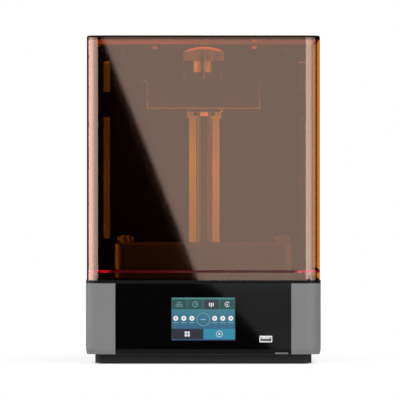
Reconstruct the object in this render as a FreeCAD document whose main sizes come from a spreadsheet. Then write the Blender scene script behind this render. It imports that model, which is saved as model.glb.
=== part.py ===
import FreeCAD, Part
import Sketcher
import math
import os
from types import SimpleNamespace

# A desktop resin printer: base with a touch screen, Z axis with platform, vat, and a lift-off amber cover.
# Millimetres; +Z up, front towards -Y, origin under the middle of the base.

SIZES = {
    # Base: tray, feet and housing
    "base_width": 280.0,
    "base_depth": 280.0,
    "base_corner": 18.0,
    "foot_stand": 1.0,
    "foot_diameter": 22.0,
    "foot_inset": 20.0,
    "foot_recess": 1.2,
    "tray_inset": 11.0,
    "tray_height": 10.6,
    "tray_corner": 10.0,
    "tray_wall": 2.5,
    "tray_floor": 2.4,
    "intake_length": 70.0,
    "intake_width": 4.0,
    "intake_pitch": 10.0,
    "intake_count": 6,
    "housing_height": 84.4,
    "housing_wall": 3.0,
    "housing_flange": 17.0,
    "front_wall": 7.5,
    "bevel_height": 6.0,
    "bevel_depth": 1.2,
    # Front panel, touch screen, USB socket and light bar
    "panel_width": 209.0,
    "panel_thickness": 4.0,
    "panel_gap": 0.25,
    "screen_width": 76.3,
    "screen_height": 51.3,
    "screen_corner": 1.5,
    "screen_rise": 42.1,
    "screen_recess": 0.3,
    "module_margin": 4.0,
    "module_depth": 7.0,
    "module_gap": 1.0,
    "usb_x": 74.4,
    "usb_rise": 18.2,
    "usb_width": 15.0,
    "usb_height": 7.6,
    "usb_wall": 1.0,
    "usb_depth": 14.0,
    "tongue_width": 11.2,
    "tongue_thickness": 2.4,
    "tongue_length": 11.0,
    "light_x": 93.0,
    "light_width": 15.5,
    "light_height": 2.0,
    # Top deck and the raised stage with the LCD
    "deck_thickness": 3.6,
    "lip_height": 3.0,
    "lip_wall": 2.5,
    "lip_gap": 0.5,
    "window_width": 150.0,
    "window_depth": 96.0,
    "stage_y": -32.0,
    "stage_width": 213.0,
    "stage_depth": 150.0,
    "stage_corner": 10.0,
    "stage_edge": 1.0,
    "stage_height": 10.4,
    "stage_roof": 5.0,
    "stage_land": 25.0,
    "stage_wall": 12.0,
    "lcd_width": 160.0,
    "lcd_depth": 106.0,
    "lcd_thickness": 4.0,
    "lcd_recess": 1.4,
    "lcd_gap": 0.2,
    # Vat, film and thumb screws
    "film_gap": 0.2,
    "film_thickness": 0.2,
    "film_grip": 4.0,
    "ring_inset": 2.0,
    "ring_margin": 4.0,
    "vat_height": 31.0,
    "pool_width": 164.0,
    "pool_depth": 112.0,
    "pool_corner": 12.0,
    "pool_chamfer": 2.0,
    "vat_screw_x": 94.4,
    "vat_screw_diameter": 6.0,
    "vat_screw_depth": 7.0,
    "vat_hole_gap": 0.3,
    "thread_gap": 0.1,
    "thread_end_gap": 0.25,
    "vat_head_diameter": 19.4,
    "vat_collar_diameter": 12.0,
    "vat_collar_height": 1.4,
    "vat_head_height": 5.6,
    "vat_cap_diameter": 11.0,
    "vat_cap_height": 1.6,
    "vat_flute_count": 18,
    "vat_flute_width": 2.0,
    "vat_flute_depth": 0.9,
    # Light engine below the stage
    "light_box_height": 50.0,
    "light_box_wall": 1.6,
    "light_box_flange": 8.0,
    "led_board_thickness": 1.6,
    "led_size": 5.0,
    "led_height": 2.0,
    "led_columns": 4,
    "led_rows": 3,
    "led_pitch_x": 34.0,
    "led_pitch_y": 28.0,
    "sink_base": 4.0,
    "sink_fin_height": 20.0,
    "sink_fin_thickness": 1.8,
    "sink_fin_count": 13,
    # Rear: fan, power inlet and rocker switch
    "fan_x": -68.0,
    "rear_rise": 42.0,
    "bay_x": 67.0,
    "bay_width": 76.0,
    "bay_height": 40.0,
    "bay_depth": 12.0,
    "fan_size": 60.0,
    "fan_corner": 4.0,
    "fan_depth": 15.0,
    "fan_bore": 56.0,
    "fan_hub": 23.0,
    "fan_plate": 3.0,
    "fan_spoke_width": 4.0,
    "fan_spoke_count": 3,
    "fan_pin_diameter": 3.0,
    "fan_pin_gap": 0.05,
    "fan_tip_gap": 1.0,
    "fan_blade_count": 7,
    "fan_blade_thickness": 1.4,
    "fan_blade_slope": 1.3,
    "fan_end_gap": 1.0,
    "grille_gap": 0.2,
    "grille_slot_count": 9,
    "grille_slot_length": 48.0,
    "grille_slot_width": 3.2,
    "grille_slot_pitch": 5.6,
    "inlet_x": 84.0,
    "inlet_diameter": 11.0,
    "inlet_flange_diameter": 15.0,
    "inlet_flange": 2.0,
    "inlet_depth": 14.0,
    "inlet_bore": 6.4,
    "inlet_bore_depth": 10.0,
    "inlet_pin_diameter": 2.0,
    "socket_gap": 0.2,
    "rocker_x": 50.0,
    "rocker_width": 11.0,
    "rocker_length": 17.0,
    "rocker_rise": 1.6,
    "rocker_side_gap": 0.6,
    "rocker_sink": 3.0,
    "rocker_tilt": 9.0,
    "rocker_heel": 3.0,
    "rocker_pin_diameter": 3.0,
    "rocker_pin_gap": 0.08,
    "rocker_frame_wall": 2.0,
    "rocker_frame_rim": 2.0,
    "rocker_frame_flange": 1.8,
    "rocker_frame_depth": 14.0,
    # Mainboard
    "board_gap": 2.0,
    "board_y": -8.0,
    "board_width": 62.0,
    "board_depth": 96.0,
    "board_thickness": 1.6,
    "board_lift": 8.0,
    "board_post_flats": 5.5,
    "board_post_inset": 5.0,
    "chip_size": 16.0,
    "chip_height": 1.6,
    "plug_width": 8.0,
    "plug_depth": 6.0,
    "plug_height": 8.0,
    "plug_pitch": 13.0,
    "plug_count": 6,
    # Column, rails and lead screw
    "column_gap": 35.0,
    "column_width": 38.0,
    "column_depth": 18.0,
    "channel_width": 16.0,
    "channel_depth": 13.0,
    "column_foot_width": 64.0,
    "column_foot_depth": 12.0,
    "column_foot_height": 8.0,
    "column_foot_corner": 5.0,
    "rail_spacing": 28.6,
    "rail_width": 8.8,
    "rail_height": 6.5,
    "rail_groove_width": 1.8,
    "rail_groove_depth": 0.9,
    "rail_start": 1.4,
    "screw_back": 5.0,
    "screw_diameter": 8.0,
    "screw_gap": 0.05,
    "screw_stub": 3.0,
    "bush_wall": 2.0,
    "bush_flange": 1.4,
    "bush_flange_height": 1.6,
    "bearing_block_height": 8.0,
    "bearing_block_front": 4.0,
    "motor_width": 42.3,
    "motor_corner": 4.0,
    "motor_height": 40.0,
    "motor_drop": 30.0,
    "motor_pilot_diameter": 22.0,
    "motor_pilot_height": 2.0,
    "motor_hole_spacing": 31.0,
    "motor_post_flats": 7.0,
    "shaft_diameter": 5.0,
    "shaft_depth": 18.0,
    "shaft_end_gap": 0.25,
    "coupler_diameter": 16.0,
    "coupler_height": 22.0,
    "coupler_gap": 2.0,
    "sensor_width": 7.0,
    "sensor_depth": 10.0,
    "sensor_base": 6.0,
    "sensor_prong": 10.0,
    "sensor_slot": 2.4,
    "sensor_lift": 4.0,
    "flag_thickness": 1.0,
    "flag_height": 16.0,
    # Carriage, arm and platform at rest near the top
    "block_width": 13.4,
    "block_depth": 10.0,
    "block_height": 38.5,
    "block_gap": 2.0,
    "block_clearance": 0.2,
    "block_drop": 9.5,
    "block_headroom": 3.0,
    "carriage_width": 40.0,
    "carriage_thickness": 6.0,
    "carriage_drop": 1.5,
    "nut_width": 10.0,
    "nut_height": 32.0,
    "nut_lift": 2.5,
    "nut_back": 6.0,
    "bolt_x": 10.6,
    "bolt_lift": 5.0,
    "bolt_diameter": 5.0,
    "bolt_height": 3.6,
    "arm_width": 50.0,
    "arm_thickness": 9.0,
    "arm_nose": 24.0,
    "arm_corner": 8.0,
    "arm_slot_gap": 0.4,
    "gusset_length": 13.0,
    "gusset_height": 20.0,
    "gusset_thickness": 6.0,
    "platform_width": 137.0,
    "platform_depth": 87.0,
    "platform_height": 25.0,
    "platform_corner": 3.0,
    "platform_wall": 5.0,
    "platform_roof": 6.0,
    "platform_boss_diameter": 32.0,
    "platform_lip": 5.0,
    "platform_lip_height": 2.2,
    "build_plate_height": 10.0,
    "build_plate_chamfer": 1.0,
    "level_screw_x": 52.0,
    "level_screw_y": 30.0,
    "level_screw_diameter": 8.0,
    "level_screw_height": 3.0,
    "stud_diameter": 12.0,
    "stud_grip": 18.0,
    "stud_seat": 6.0,
    "knob_diameter": 50.0,
    "knob_hub_diameter": 28.0,
    "knob_hub_height": 14.0,
    "knob_grip_height": 11.5,
    "knob_dome_height": 6.0,
    "knob_headroom": 7.7,
    "knob_flute_count": 36,
    "knob_flute_width": 2.6,
    "knob_flute_depth": 1.1,
    # Back shield behind the column
    "shield_gap": 9.0,
    "shield_side_gap": 1.5,
    "shield_thickness": 2.0,
    "shield_return": 8.0,
    "shield_notch": 4.0,
    "shield_headroom": 2.6,
    "shield_foot_depth": 14.0,
    "shield_foot_inset": 14.0,
    "vent_x": 120.75,
    "vent_width": 7.5,
    "vent_bottom": 48.4,
    "vent_bridge": 32.0,
    "vent_upper": 37.0,
    "vent_top": 19.6,
    # Cover
    "cover_inset": 1.0,
    "cover_wall": 3.0,
    "cover_roof": 3.0,
    "cover_height": 291.6,
    "cover_edge": 2.2,
    "stripe_rise": 9.0,
    "stripe_height": 3.0,
    "stripe_depth": 0.6,
    "stripe_gap": 0.05,
}


class Size:
    # A formula on the sheet's cells, kept as the text that setExpression takes.

    def __init__(self, text):
        self.text = str(text)

    def __str__(self):
        return self.text

    def __add__(self, other):
        return Size(f"({self} + {other})")

    def __radd__(self, other):
        return Size(f"({other} + {self})")

    def __sub__(self, other):
        return Size(f"({self} - {other})")

    def __rsub__(self, other):
        return Size(f"({other} - {self})")

    def __mul__(self, other):
        return Size(f"({self} * {other})")

    __rmul__ = __mul__

    def __truediv__(self, other):
        return Size(f"({self} / {other})")

    def __neg__(self):
        return Size(f"(0 - {self})")


doc = FreeCAD.newDocument("ResinPrinter")
sheet = doc.addObject("Spreadsheet::Sheet", "Sizes")
for row, (alias, amount) in enumerate(SIZES.items(), start=1):
    sheet.set(f"A{row}", alias)
    sheet.set(f"B{row}", str(amount))
    sheet.setAlias(f"B{row}", alias)
doc.recompute()
size = SimpleNamespace(**{alias: Size(f"Sizes.{alias}") for alias in SIZES})
pieces = []
TINY = 1e-4


def number(formula):
    return float(sheet.evalExpression(str(formula)))


def bind(item, prop, formula):
    item.setExpression(prop, str(formula))


# Sketch and feature helpers

def piece(label, x=0, y=0, z=0, upright=False, tilt=0.0):
    # An upright piece has its sketch plane standing, sketch y up and sketch normal to the front.
    body = doc.addObject("PartDesign::Body", label)
    body.Label = label
    body.AllowCompound = True
    turn = FreeCAD.Rotation(FreeCAD.Vector(1, 0, 0), (90 if upright else 0) + tilt)
    body.Placement = FreeCAD.Placement(FreeCAD.Vector(), turn)
    for axis, place in zip("xyz", (x, y, z)):
        bind(body, f"Placement.Base.{axis}", place)
    pieces.append(body)
    return body


def origin_part(body, role):
    return next(item for item in body.Origin.OriginFeatures if item.Role == role)


def sketch(body, height=0, plane="XY_Plane"):
    drawing = body.newObject("Sketcher::SketchObject", "Sketch")
    drawing.AttachmentSupport = [(origin_part(body, plane), "")]
    drawing.MapMode = "FlatFace"
    bind(drawing, "AttachmentOffset.Base.z", height)
    return drawing


def place_point(drawing, geometry, end, point, name):
    for kind, axis, coordinate in zip(("DistanceX", "DistanceY"), "xy", point):
        index = drawing.addConstraint(Sketcher.Constraint(kind, -1, 1, geometry, end, number(coordinate)))
        drawing.renameConstraint(index, name + axis)
        bind(drawing, "Constraints." + name + axis, coordinate)


def outline(drawing, points, arcs=None):
    # A closed outline, anticlockwise. arcs gives, by number of the stretch, its radius and whether it bends inwards.
    arcs = arcs or {}
    corners = [FreeCAD.Vector(number(x), number(y), 0) for x, y in points]
    first = drawing.GeometryCount
    ends = []
    for index, start in enumerate(corners):
        finish = corners[(index + 1) % len(corners)]
        if index not in arcs:
            drawing.addGeometry(Part.LineSegment(start, finish))
            ends.append((1, 2))
            continue
        bend, inward = arcs[index]
        radius = number(bend)
        chord = finish - start
        side = FreeCAD.Vector(-chord.y, chord.x, 0).normalize() * (-1 if inward else 1)
        middle = start + chord * 0.5 + side * math.sqrt(max(radius ** 2 - chord.Length ** 2 / 4, 0))
        begin, stop = (finish, start) if inward else (start, finish)
        angles = [math.atan2(spot.y - middle.y, spot.x - middle.x) for spot in (begin, stop)]
        circle_line = Part.Circle(middle, FreeCAD.Vector(0, 0, 1), radius)
        drawing.addGeometry(Part.ArcOfCircle(circle_line, *angles))
        ends.append((2, 1) if inward else (1, 2))
    for index in range(len(points)):
        following = (index + 1) % len(points)
        drawing.addConstraint(Sketcher.Constraint("Coincident", first + index, ends[index][1],
                                                  first + following, ends[following][0]))
    for index, point in enumerate(points):
        place_point(drawing, first + index, ends[index][0], point, f"point{first + index}")
    for index, (bend, _) in arcs.items():
        row = drawing.addConstraint(Sketcher.Constraint("Radius", first + index, number(bend)))
        drawing.renameConstraint(row, f"radius{first + index}")
        bind(drawing, f"Constraints.radius{first + index}", bend)


def rectangle(drawing, width, depth, x=0, y=0, corner=None):
    left, right = x - width / 2, x + width / 2
    front, back = y - depth / 2, y + depth / 2
    if corner is None:
        outline(drawing, [(left, front), (right, front), (right, back), (left, back)])
        return
    points = [(left + corner, front), (right - corner, front), (right, front + corner), (right, back - corner),
              (right - corner, back), (left + corner, back), (left, back - corner), (left, front + corner)]
    outline(drawing, points, {stretch: (corner, False) for stretch in (1, 3, 5, 7)})


def circle(drawing, diameter, x=0, y=0):
    middle = FreeCAD.Vector(number(x), number(y), 0)
    geometry = drawing.addGeometry(Part.Circle(middle, FreeCAD.Vector(0, 0, 1), number(diameter) / 2))
    place_point(drawing, geometry, 3, (x, y), f"middle{geometry}")
    row = drawing.addConstraint(Sketcher.Constraint("Diameter", geometry, number(diameter)))
    drawing.renameConstraint(row, f"diameter{geometry}")
    bind(drawing, f"Constraints.diameter{geometry}", diameter)


def hexagon(drawing, flats, x=0, y=0):
    half, side, tip = flats / 2, flats / (2 * math.sqrt(3)), flats / math.sqrt(3)
    outline(drawing, [(x, y - tip), (x + half, y - side), (x + half, y + side), (x, y + tip), (x - half, y + side),
                      (x - half, y - side)])


def groove(drawing, radius, width, depth):
    # A V across the rim of a grip; it starts half its depth outside the rim so that it opens fully.
    outline(drawing, [(radius - depth, 0), (radius + depth / 2, -width * 0.75), (radius + depth / 2, width * 0.75)])


def pad(body, drawing, length, downward=False, centred=False):
    feature = body.newObject("PartDesign::Pad", "Pad")
    feature.Profile = drawing
    feature.Reversed = downward
    if centred:
        feature.SideType = "Symmetric"
    bind(feature, "Length", length)
    doc.recompute()
    return feature


def pocket(body, drawing, depth=None, upward=False, centred=False):
    # Without a depth it goes right through, both ways.
    volume = body.Shape.Volume
    feature = body.newObject("PartDesign::Pocket", "Pocket")
    feature.Profile = drawing
    feature.Reversed = upward
    if centred or depth is None:
        feature.SideType = "Symmetric"
    if depth is None:
        feature.Type = "ThroughAll"
    else:
        bind(feature, "Length", depth)
    doc.recompute()
    if body.Shape.Volume > volume - TINY:
        raise ValueError(f"a pocket cuts nothing from {body.Label}")
    return feature


def revolve(body, drawing):
    feature = body.newObject("PartDesign::Revolution", "Revolution")
    feature.Profile = drawing
    feature.ReferenceAxis = (origin_part(body, "Z_Axis"), [""])
    feature.Angle = 360
    doc.recompute()
    return feature


def repeat_round(body, features, count):
    pattern = body.newObject("PartDesign::PolarPattern", "PolarPattern")
    pattern.Originals = features
    pattern.Axis = (origin_part(body, "Z_Axis"), [""])
    pattern.Angle = 360
    bind(pattern, "Occurrences", count)
    body.Tip = pattern
    doc.recompute()


def repeat_along(body, features, axis, length, count):
    pattern = body.newObject("PartDesign::LinearPattern", "LinearPattern")
    pattern.Originals = features
    pattern.Direction = (origin_part(body, axis), [""])
    bind(pattern, "Length", length)
    bind(pattern, "Occurrences", count)
    body.Tip = pattern
    doc.recompute()


def mirror(body, features, plane):
    copy = body.newObject("PartDesign::Mirrored", "Mirrored")
    copy.Originals = features
    copy.MirrorPlane = (origin_part(body, plane), [""])
    body.Tip = copy
    doc.recompute()


def edges_at(body, height):
    # Names of the edges that lie wholly at one height of the piece's own frame.
    level = number(height)
    names = []
    for index, edge in enumerate(body.Tip.Shape.Edges, start=1):
        box = edge.BoundBox
        if abs(box.ZMin - level) < TINY and abs(box.ZMax - level) < TINY:
            names.append(f"Edge{index}")
    return names


def fillet(body, names, radius):
    base = body.Tip
    feature = body.newObject("PartDesign::Fillet", "Fillet")
    feature.Base = (base, names)
    bind(feature, "Radius", radius)
    doc.recompute()


def chamfer(body, names, reach, other=None):
    base = body.Tip
    feature = body.newObject("PartDesign::Chamfer", "Chamfer")
    feature.Base = (base, names)
    bind(feature, "Size", reach)
    if other is not None:
        feature.ChamferType = "Two distances"
        bind(feature, "Size2", other)
    doc.recompute()


def block(label, width, depth, height, x=0, y=0, z=0, corner=None):
    body = piece(label, x, y, z)
    drawing = sketch(body)
    rectangle(drawing, width, depth, corner=corner)
    pad(body, drawing, height)
    return body


def rods(label, diameter, length, spots, x=0, y=0, z=0):
    body = piece(label, x, y, z)
    drawing = sketch(body)
    for spot in spots:
        circle(drawing, diameter, *spot)
    pad(body, drawing, length)
    return body


def standoffs(label, flats, length, spots, x=0, y=0, z=0):
    body = piece(label, x, y, z)
    drawing = sketch(body)
    for spot in spots:
        hexagon(drawing, flats, *spot)
    pad(body, drawing, length)


def spread(count, pitch):
    # Places in an even row about the middle.
    return [(index - (count - 1) / 2) * pitch for index in range(round(number(count)))]


def four_corners(half_x, half_y):
    return [(-half_x, -half_y), (half_x, -half_y), (half_x, half_y), (-half_x, half_y)]


# Heights and places that several pieces share

front = -size.base_depth / 2
back = size.base_depth / 2
housing_bottom = size.foot_stand + size.tray_height
deck_bottom = housing_bottom + size.housing_height
deck_top = deck_bottom + size.deck_thickness
stage_top = deck_top + size.stage_height
ring_height = size.lcd_thickness - size.lcd_recess + size.film_gap
film_bottom = stage_top + ring_height
vat_bottom = film_bottom + size.film_thickness
vat_top = vat_bottom + size.vat_height
column_front = size.stage_y + size.stage_depth / 2 + size.column_gap
screw_y = column_front + size.screw_back
cover_width = size.base_width - 2 * size.cover_inset
cover_depth = size.base_depth - 2 * size.cover_inset
cover_corner = size.base_corner - size.cover_inset
cover_ceiling = deck_top + size.cover_height - size.cover_roof
arm_top = cover_ceiling - size.knob_headroom - size.knob_dome_height - size.knob_grip_height - size.knob_hub_height
platform_top = arm_top - size.arm_thickness
platform_seam = platform_top - size.platform_height
platform_bottom = platform_seam - size.build_plate_height
block_bottom = platform_bottom - size.block_drop
carriage_bottom = platform_bottom - size.carriage_drop
column_height = block_bottom + size.block_height + size.block_headroom - deck_top
block_front = column_front - size.block_gap - size.block_depth
carriage_front = block_front - size.carriage_thickness
motor_top = deck_bottom - size.motor_drop
board_bottom = size.foot_stand + size.tray_floor + size.board_lift
board_x = size.base_width / 2 - size.housing_flange - size.board_gap - size.board_width / 2
bush_bore = size.screw_diameter + 2 * size.screw_gap
bush_diameter = bush_bore + 2 * size.bush_wall
rocker_frame_width = size.rocker_width + 2 * (size.rocker_side_gap + size.rocker_frame_wall)
rocker_frame_length = size.rocker_length + 2 * (size.rocker_side_gap + size.rocker_frame_wall)
rocker_pin_length = size.rocker_width + 2 * (size.rocker_side_gap + size.rocker_frame_wall / 2)
flag_x = size.column_width / 2 + size.sensor_width / 2


# Base tray, feet and housing

tray_width = size.base_width - 2 * size.tray_inset
tray_depth = size.base_depth - 2 * size.tray_inset
foot_spots = four_corners(tray_width / 2 - size.foot_inset, tray_depth / 2 - size.foot_inset)


def base_tray():
    body = block("base_tray", tray_width, tray_depth, size.tray_height, z=size.foot_stand, corner=size.tray_corner)
    hollow = sketch(body, size.tray_height)
    rectangle(hollow, tray_width - 2 * size.tray_wall, tray_depth - 2 * size.tray_wall,
              corner=size.tray_corner - size.tray_wall)
    pocket(body, hollow, size.tray_height - size.tray_floor)
    recesses = sketch(body)
    for spot in foot_spots:
        circle(recesses, size.foot_diameter, *spot)
    pocket(body, recesses, size.foot_recess, upward=True)
    row_length = size.intake_pitch * (size.intake_count - 1)
    slot = sketch(body)
    rectangle(slot, size.intake_length, size.intake_width, y=size.stage_y - row_length / 2)
    repeat_along(body, [pocket(body, slot)], "Y_Axis", row_length, size.intake_count)


def rubber_feet():
    rods("rubber_feet", size.foot_diameter, size.foot_stand + size.foot_recess, foot_spots)


def front_cut(body, depth, draw):
    # A cut inwards from the front face, drawn in x and height.
    drawing = sketch(body, -front, "XZ_Plane")
    draw(drawing)
    pocket(body, drawing, depth)


def rear_cut(body, set_in, depth, draw):
    # A cut inwards from a plane set in from the back face, drawn in x and height.
    drawing = sketch(body, set_in - back, "XZ_Plane")
    draw(drawing)
    pocket(body, drawing, depth, upward=True)


def housing_shell():
    body = block("housing_shell", size.base_width, size.base_depth, size.housing_height, z=housing_bottom,
                 corner=size.base_corner)
    chamfer(body, edges_at(body, 0), size.bevel_height, size.bevel_depth)
    hollow = sketch(body, size.housing_height)
    rectangle(hollow, size.base_width - 2 * size.housing_wall,
              size.base_depth - size.housing_wall - size.front_wall,
              y=(size.front_wall - size.housing_wall) / 2, corner=size.base_corner - size.housing_wall)
    pocket(body, hollow, size.housing_height - size.housing_wall)
    floor = sketch(body)
    rectangle(floor, size.base_width - 2 * size.housing_flange, size.base_depth - 2 * size.housing_flange,
              corner=size.base_corner)
    pocket(body, floor, size.housing_wall, upward=True)
    rebate = sketch(body)
    rectangle(rebate, size.panel_width + 2 * size.panel_gap, 2 * size.panel_thickness, y=front)
    pocket(body, rebate)
    module_room = 2 * (size.module_margin + size.module_gap)
    front_cut(body, size.front_wall, lambda drawing: rectangle(
        drawing, size.screen_width + module_room, size.screen_height + module_room, y=size.screen_rise))
    front_cut(body, size.front_wall, lambda drawing: rectangle(
        drawing, size.usb_width + 2 * size.module_gap, size.usb_height + 2 * size.module_gap,
        size.usb_x, size.usb_rise))
    fan_opening = size.fan_size + 2 * size.grille_gap
    rear_cut(body, 0, size.housing_wall, lambda drawing: rectangle(
        drawing, fan_opening, fan_opening, size.fan_x, size.rear_rise, size.fan_corner + size.grille_gap))
    bay = sketch(body, -back, "XZ_Plane")
    rectangle(bay, size.bay_width + 2 * size.housing_wall, size.bay_height + 2 * size.housing_wall,
              size.bay_x, size.rear_rise)
    pad(body, bay, size.bay_depth + size.housing_wall)
    rear_cut(body, 0, size.bay_depth, lambda drawing: rectangle(
        drawing, size.bay_width, size.bay_height, size.bay_x, size.rear_rise, size.housing_wall))
    rear_cut(body, size.bay_depth, size.housing_wall, lambda drawing: circle(
        drawing, size.inlet_diameter + 2 * size.socket_gap, size.inlet_x, size.rear_rise))
    rear_cut(body, size.bay_depth, size.housing_wall, lambda drawing: rectangle(
        drawing, rocker_frame_width + 2 * size.socket_gap, rocker_frame_length + 2 * size.socket_gap,
        size.rocker_x, size.rear_rise))


# Front panel and what is set in it

panel_height = size.housing_height - 2 * size.panel_gap
panel_back = front + size.panel_thickness


def front_panel():
    body = piece("front_panel", 0, panel_back, housing_bottom + size.panel_gap, upright=True)
    plate = sketch(body)
    rectangle(plate, size.panel_width, panel_height, y=panel_height / 2)
    pad(body, plate, size.panel_thickness)
    low_edge = [f"Edge{index}" for index, edge in enumerate(body.Tip.Shape.Edges, start=1)
                if abs(edge.BoundBox.YMax) < TINY and edge.BoundBox.ZMin > number(size.panel_thickness) / 2]
    chamfer(body, low_edge, size.bevel_depth, size.bevel_height - size.panel_gap)
    openings = sketch(body)
    rectangle(openings, size.screen_width + 2 * size.panel_gap, size.screen_height + 2 * size.panel_gap,
              y=size.screen_rise - size.panel_gap, corner=size.screen_corner + size.panel_gap)
    rectangle(openings, size.usb_width + 2 * size.panel_gap, size.usb_height + 2 * size.panel_gap,
              size.usb_x, size.usb_rise - size.panel_gap)
    pocket(body, openings)
    notch = sketch(body)
    rectangle(notch, size.light_width + 2 * size.panel_gap, 2 * (size.light_height + size.panel_gap), size.light_x)
    pocket(body, notch)


def touch_screen():
    body = piece("touch_screen", 0, panel_back, housing_bottom + size.screen_rise, upright=True)
    glass = sketch(body)
    rectangle(glass, size.screen_width, size.screen_height, corner=size.screen_corner)
    pad(body, glass, size.panel_thickness - size.screen_recess)


def display_module():
    body = piece("display_module", 0, panel_back, housing_bottom + size.screen_rise, upright=True)
    case = sketch(body)
    rectangle(case, size.screen_width + 2 * size.module_margin, size.screen_height + 2 * size.module_margin)
    pad(body, case, size.module_depth, downward=True)


def usb_socket():
    place = (size.usb_x, panel_back, housing_bottom + size.usb_rise)
    shell = piece("usb_shell", *place, upright=True)
    tube = sketch(shell, -size.usb_depth)
    rectangle(tube, size.usb_width, size.usb_height)
    pad(shell, tube, size.usb_depth + size.panel_thickness)
    mouth = sketch(shell, size.panel_thickness)
    rectangle(mouth, size.usb_width - 2 * size.usb_wall, size.usb_height - 2 * size.usb_wall)
    pocket(shell, mouth, size.usb_depth + size.panel_thickness - size.usb_wall)
    tongue = piece("usb_tongue", *place, upright=True)
    drawing = sketch(tongue, size.usb_wall - size.usb_depth)
    rectangle(drawing, size.tongue_width, size.tongue_thickness,
              y=size.usb_height / 2 - size.usb_wall - size.tongue_thickness / 2)
    pad(tongue, drawing, size.tongue_length + size.panel_thickness)


def status_light():
    body = piece("status_light", size.light_x, panel_back, housing_bottom + size.panel_gap, upright=True)
    bar = sketch(body)
    rectangle(bar, size.light_width, size.light_height, y=size.light_height / 2)
    pad(body, bar, size.panel_thickness)


# Top deck and stage

def top_deck():
    body = block("top_deck", size.base_width, size.base_depth, size.deck_thickness, z=deck_bottom,
                 corner=size.base_corner)
    lip = sketch(body, size.deck_thickness)
    inset = size.cover_wall + size.lip_gap
    for step in (inset, inset + size.lip_wall):
        rectangle(lip, cover_width - 2 * step, cover_depth - 2 * step, corner=cover_corner - step)
    pad(body, lip, size.lip_height)
    openings = sketch(body)
    rectangle(openings, size.window_width, size.window_depth, y=size.stage_y)
    circle(openings, bush_diameter, y=screw_y)
    pocket(body, openings)


def lcd_stage():
    body = block("lcd_stage", size.stage_width, size.stage_depth, size.stage_height, y=size.stage_y, z=deck_top,
                 corner=size.stage_corner)
    chamfer(body, edges_at(body, size.stage_height), size.stage_edge)
    hollow = sketch(body)
    rectangle(hollow, size.stage_width - 2 * size.stage_land, size.stage_depth - 2 * size.stage_wall)
    pocket(body, hollow, size.stage_height - size.stage_roof, upward=True)
    recess = sketch(body, size.stage_height)
    rectangle(recess, size.lcd_width + 2 * size.lcd_gap, size.lcd_depth + 2 * size.lcd_gap)
    pocket(body, recess, size.lcd_recess)
    window = sketch(body)
    rectangle(window, size.window_width, size.window_depth)
    pocket(body, window)
    threads = sketch(body, size.stage_height)
    for side in (-1, 1):
        circle(threads, size.vat_screw_diameter + 2 * size.thread_gap, side * size.vat_screw_x)
    pocket(body, threads, size.vat_screw_depth + size.thread_end_gap)


def lcd_glass():
    block("lcd_glass", size.lcd_width, size.lcd_depth, size.lcd_thickness, y=size.stage_y,
          z=stage_top - size.lcd_recess)


# Vat

def vat_screw_holes(body):
    holes = sketch(body)
    for side in (-1, 1):
        circle(holes, size.vat_screw_diameter + 2 * size.vat_hole_gap, side * size.vat_screw_x)
    pocket(body, holes)


ring_opening_width = size.lcd_width + 2 * size.ring_margin
ring_opening_depth = size.lcd_depth + 2 * size.ring_margin


def film_ring():
    body = block("film_ring", size.stage_width - 2 * size.ring_inset, size.stage_depth - 2 * size.ring_inset,
                 ring_height, y=size.stage_y, z=stage_top, corner=size.stage_corner - size.ring_inset)
    opening = sketch(body)
    rectangle(opening, ring_opening_width, ring_opening_depth, corner=size.ring_margin)
    pocket(body, opening)
    vat_screw_holes(body)


def release_film():
    block("release_film", ring_opening_width + 2 * size.film_grip, ring_opening_depth + 2 * size.film_grip,
          size.film_thickness, y=size.stage_y, z=film_bottom, corner=size.ring_margin + size.film_grip)


def vat_frame():
    body = block("vat_frame", size.stage_width, size.stage_depth, size.vat_height, y=size.stage_y, z=vat_bottom,
                 corner=size.stage_corner)
    pool = sketch(body)
    rectangle(pool, size.pool_width, size.pool_depth, corner=size.pool_corner)
    pocket(body, pool)
    chamfer(body, edges_at(body, size.vat_height), size.pool_chamfer)
    vat_screw_holes(body)


def vat_screw(label, side):
    body = piece(label, side * size.vat_screw_x, size.stage_y, vat_top)
    stud = size.vat_screw_diameter / 2
    tip = -(size.vat_height + size.film_thickness + ring_height + size.vat_screw_depth)
    collar, head, cap = size.vat_collar_diameter / 2, size.vat_head_diameter / 2, size.vat_cap_diameter / 2
    head_bottom = size.vat_collar_height
    head_top = head_bottom + size.vat_head_height
    cap_top = head_top + size.vat_cap_height
    profile = sketch(body, 0, "XZ_Plane")
    outline(profile, [(0, tip), (stud, tip), (stud, 0), (collar, 0), (collar, head_bottom), (head, head_bottom),
                      (head, head_top), (cap, head_top), (cap, cap_top), (0, cap_top)])
    revolve(body, profile)
    flute = sketch(body, head_bottom)
    groove(flute, head, size.vat_flute_width, size.vat_flute_depth)
    repeat_round(body, [pocket(body, flute, size.vat_head_height, upward=True)], size.vat_flute_count)


# Light engine

led_board_top = deck_bottom - size.light_box_height
sink_top = led_board_top - size.led_board_thickness
light_box_width = size.window_width + 2 * size.light_box_wall
light_box_depth = size.window_depth + 2 * size.light_box_wall


def light_box():
    body = piece("light_box", 0, size.stage_y, led_board_top)
    tube = sketch(body)
    rectangle(tube, light_box_width, light_box_depth)
    rectangle(tube, size.window_width, size.window_depth)
    pad(body, tube, size.light_box_height)
    flange = sketch(body, size.light_box_height)
    reach = 2 * size.light_box_flange
    rectangle(flange, size.window_width + reach, size.window_depth + reach)
    rectangle(flange, size.window_width, size.window_depth)
    pad(body, flange, size.light_box_wall, downward=True)


def led_board():
    block("led_board", light_box_width, light_box_depth, size.led_board_thickness, y=size.stage_y, z=sink_top)


def uv_leds():
    body = piece("uv_leds", 0, size.stage_y, led_board_top)
    packages = sketch(body)
    for x in spread(size.led_columns, size.led_pitch_x):
        for y in spread(size.led_rows, size.led_pitch_y):
            rectangle(packages, size.led_size, size.led_size, x, y)
    pad(body, packages, size.led_height)


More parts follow.
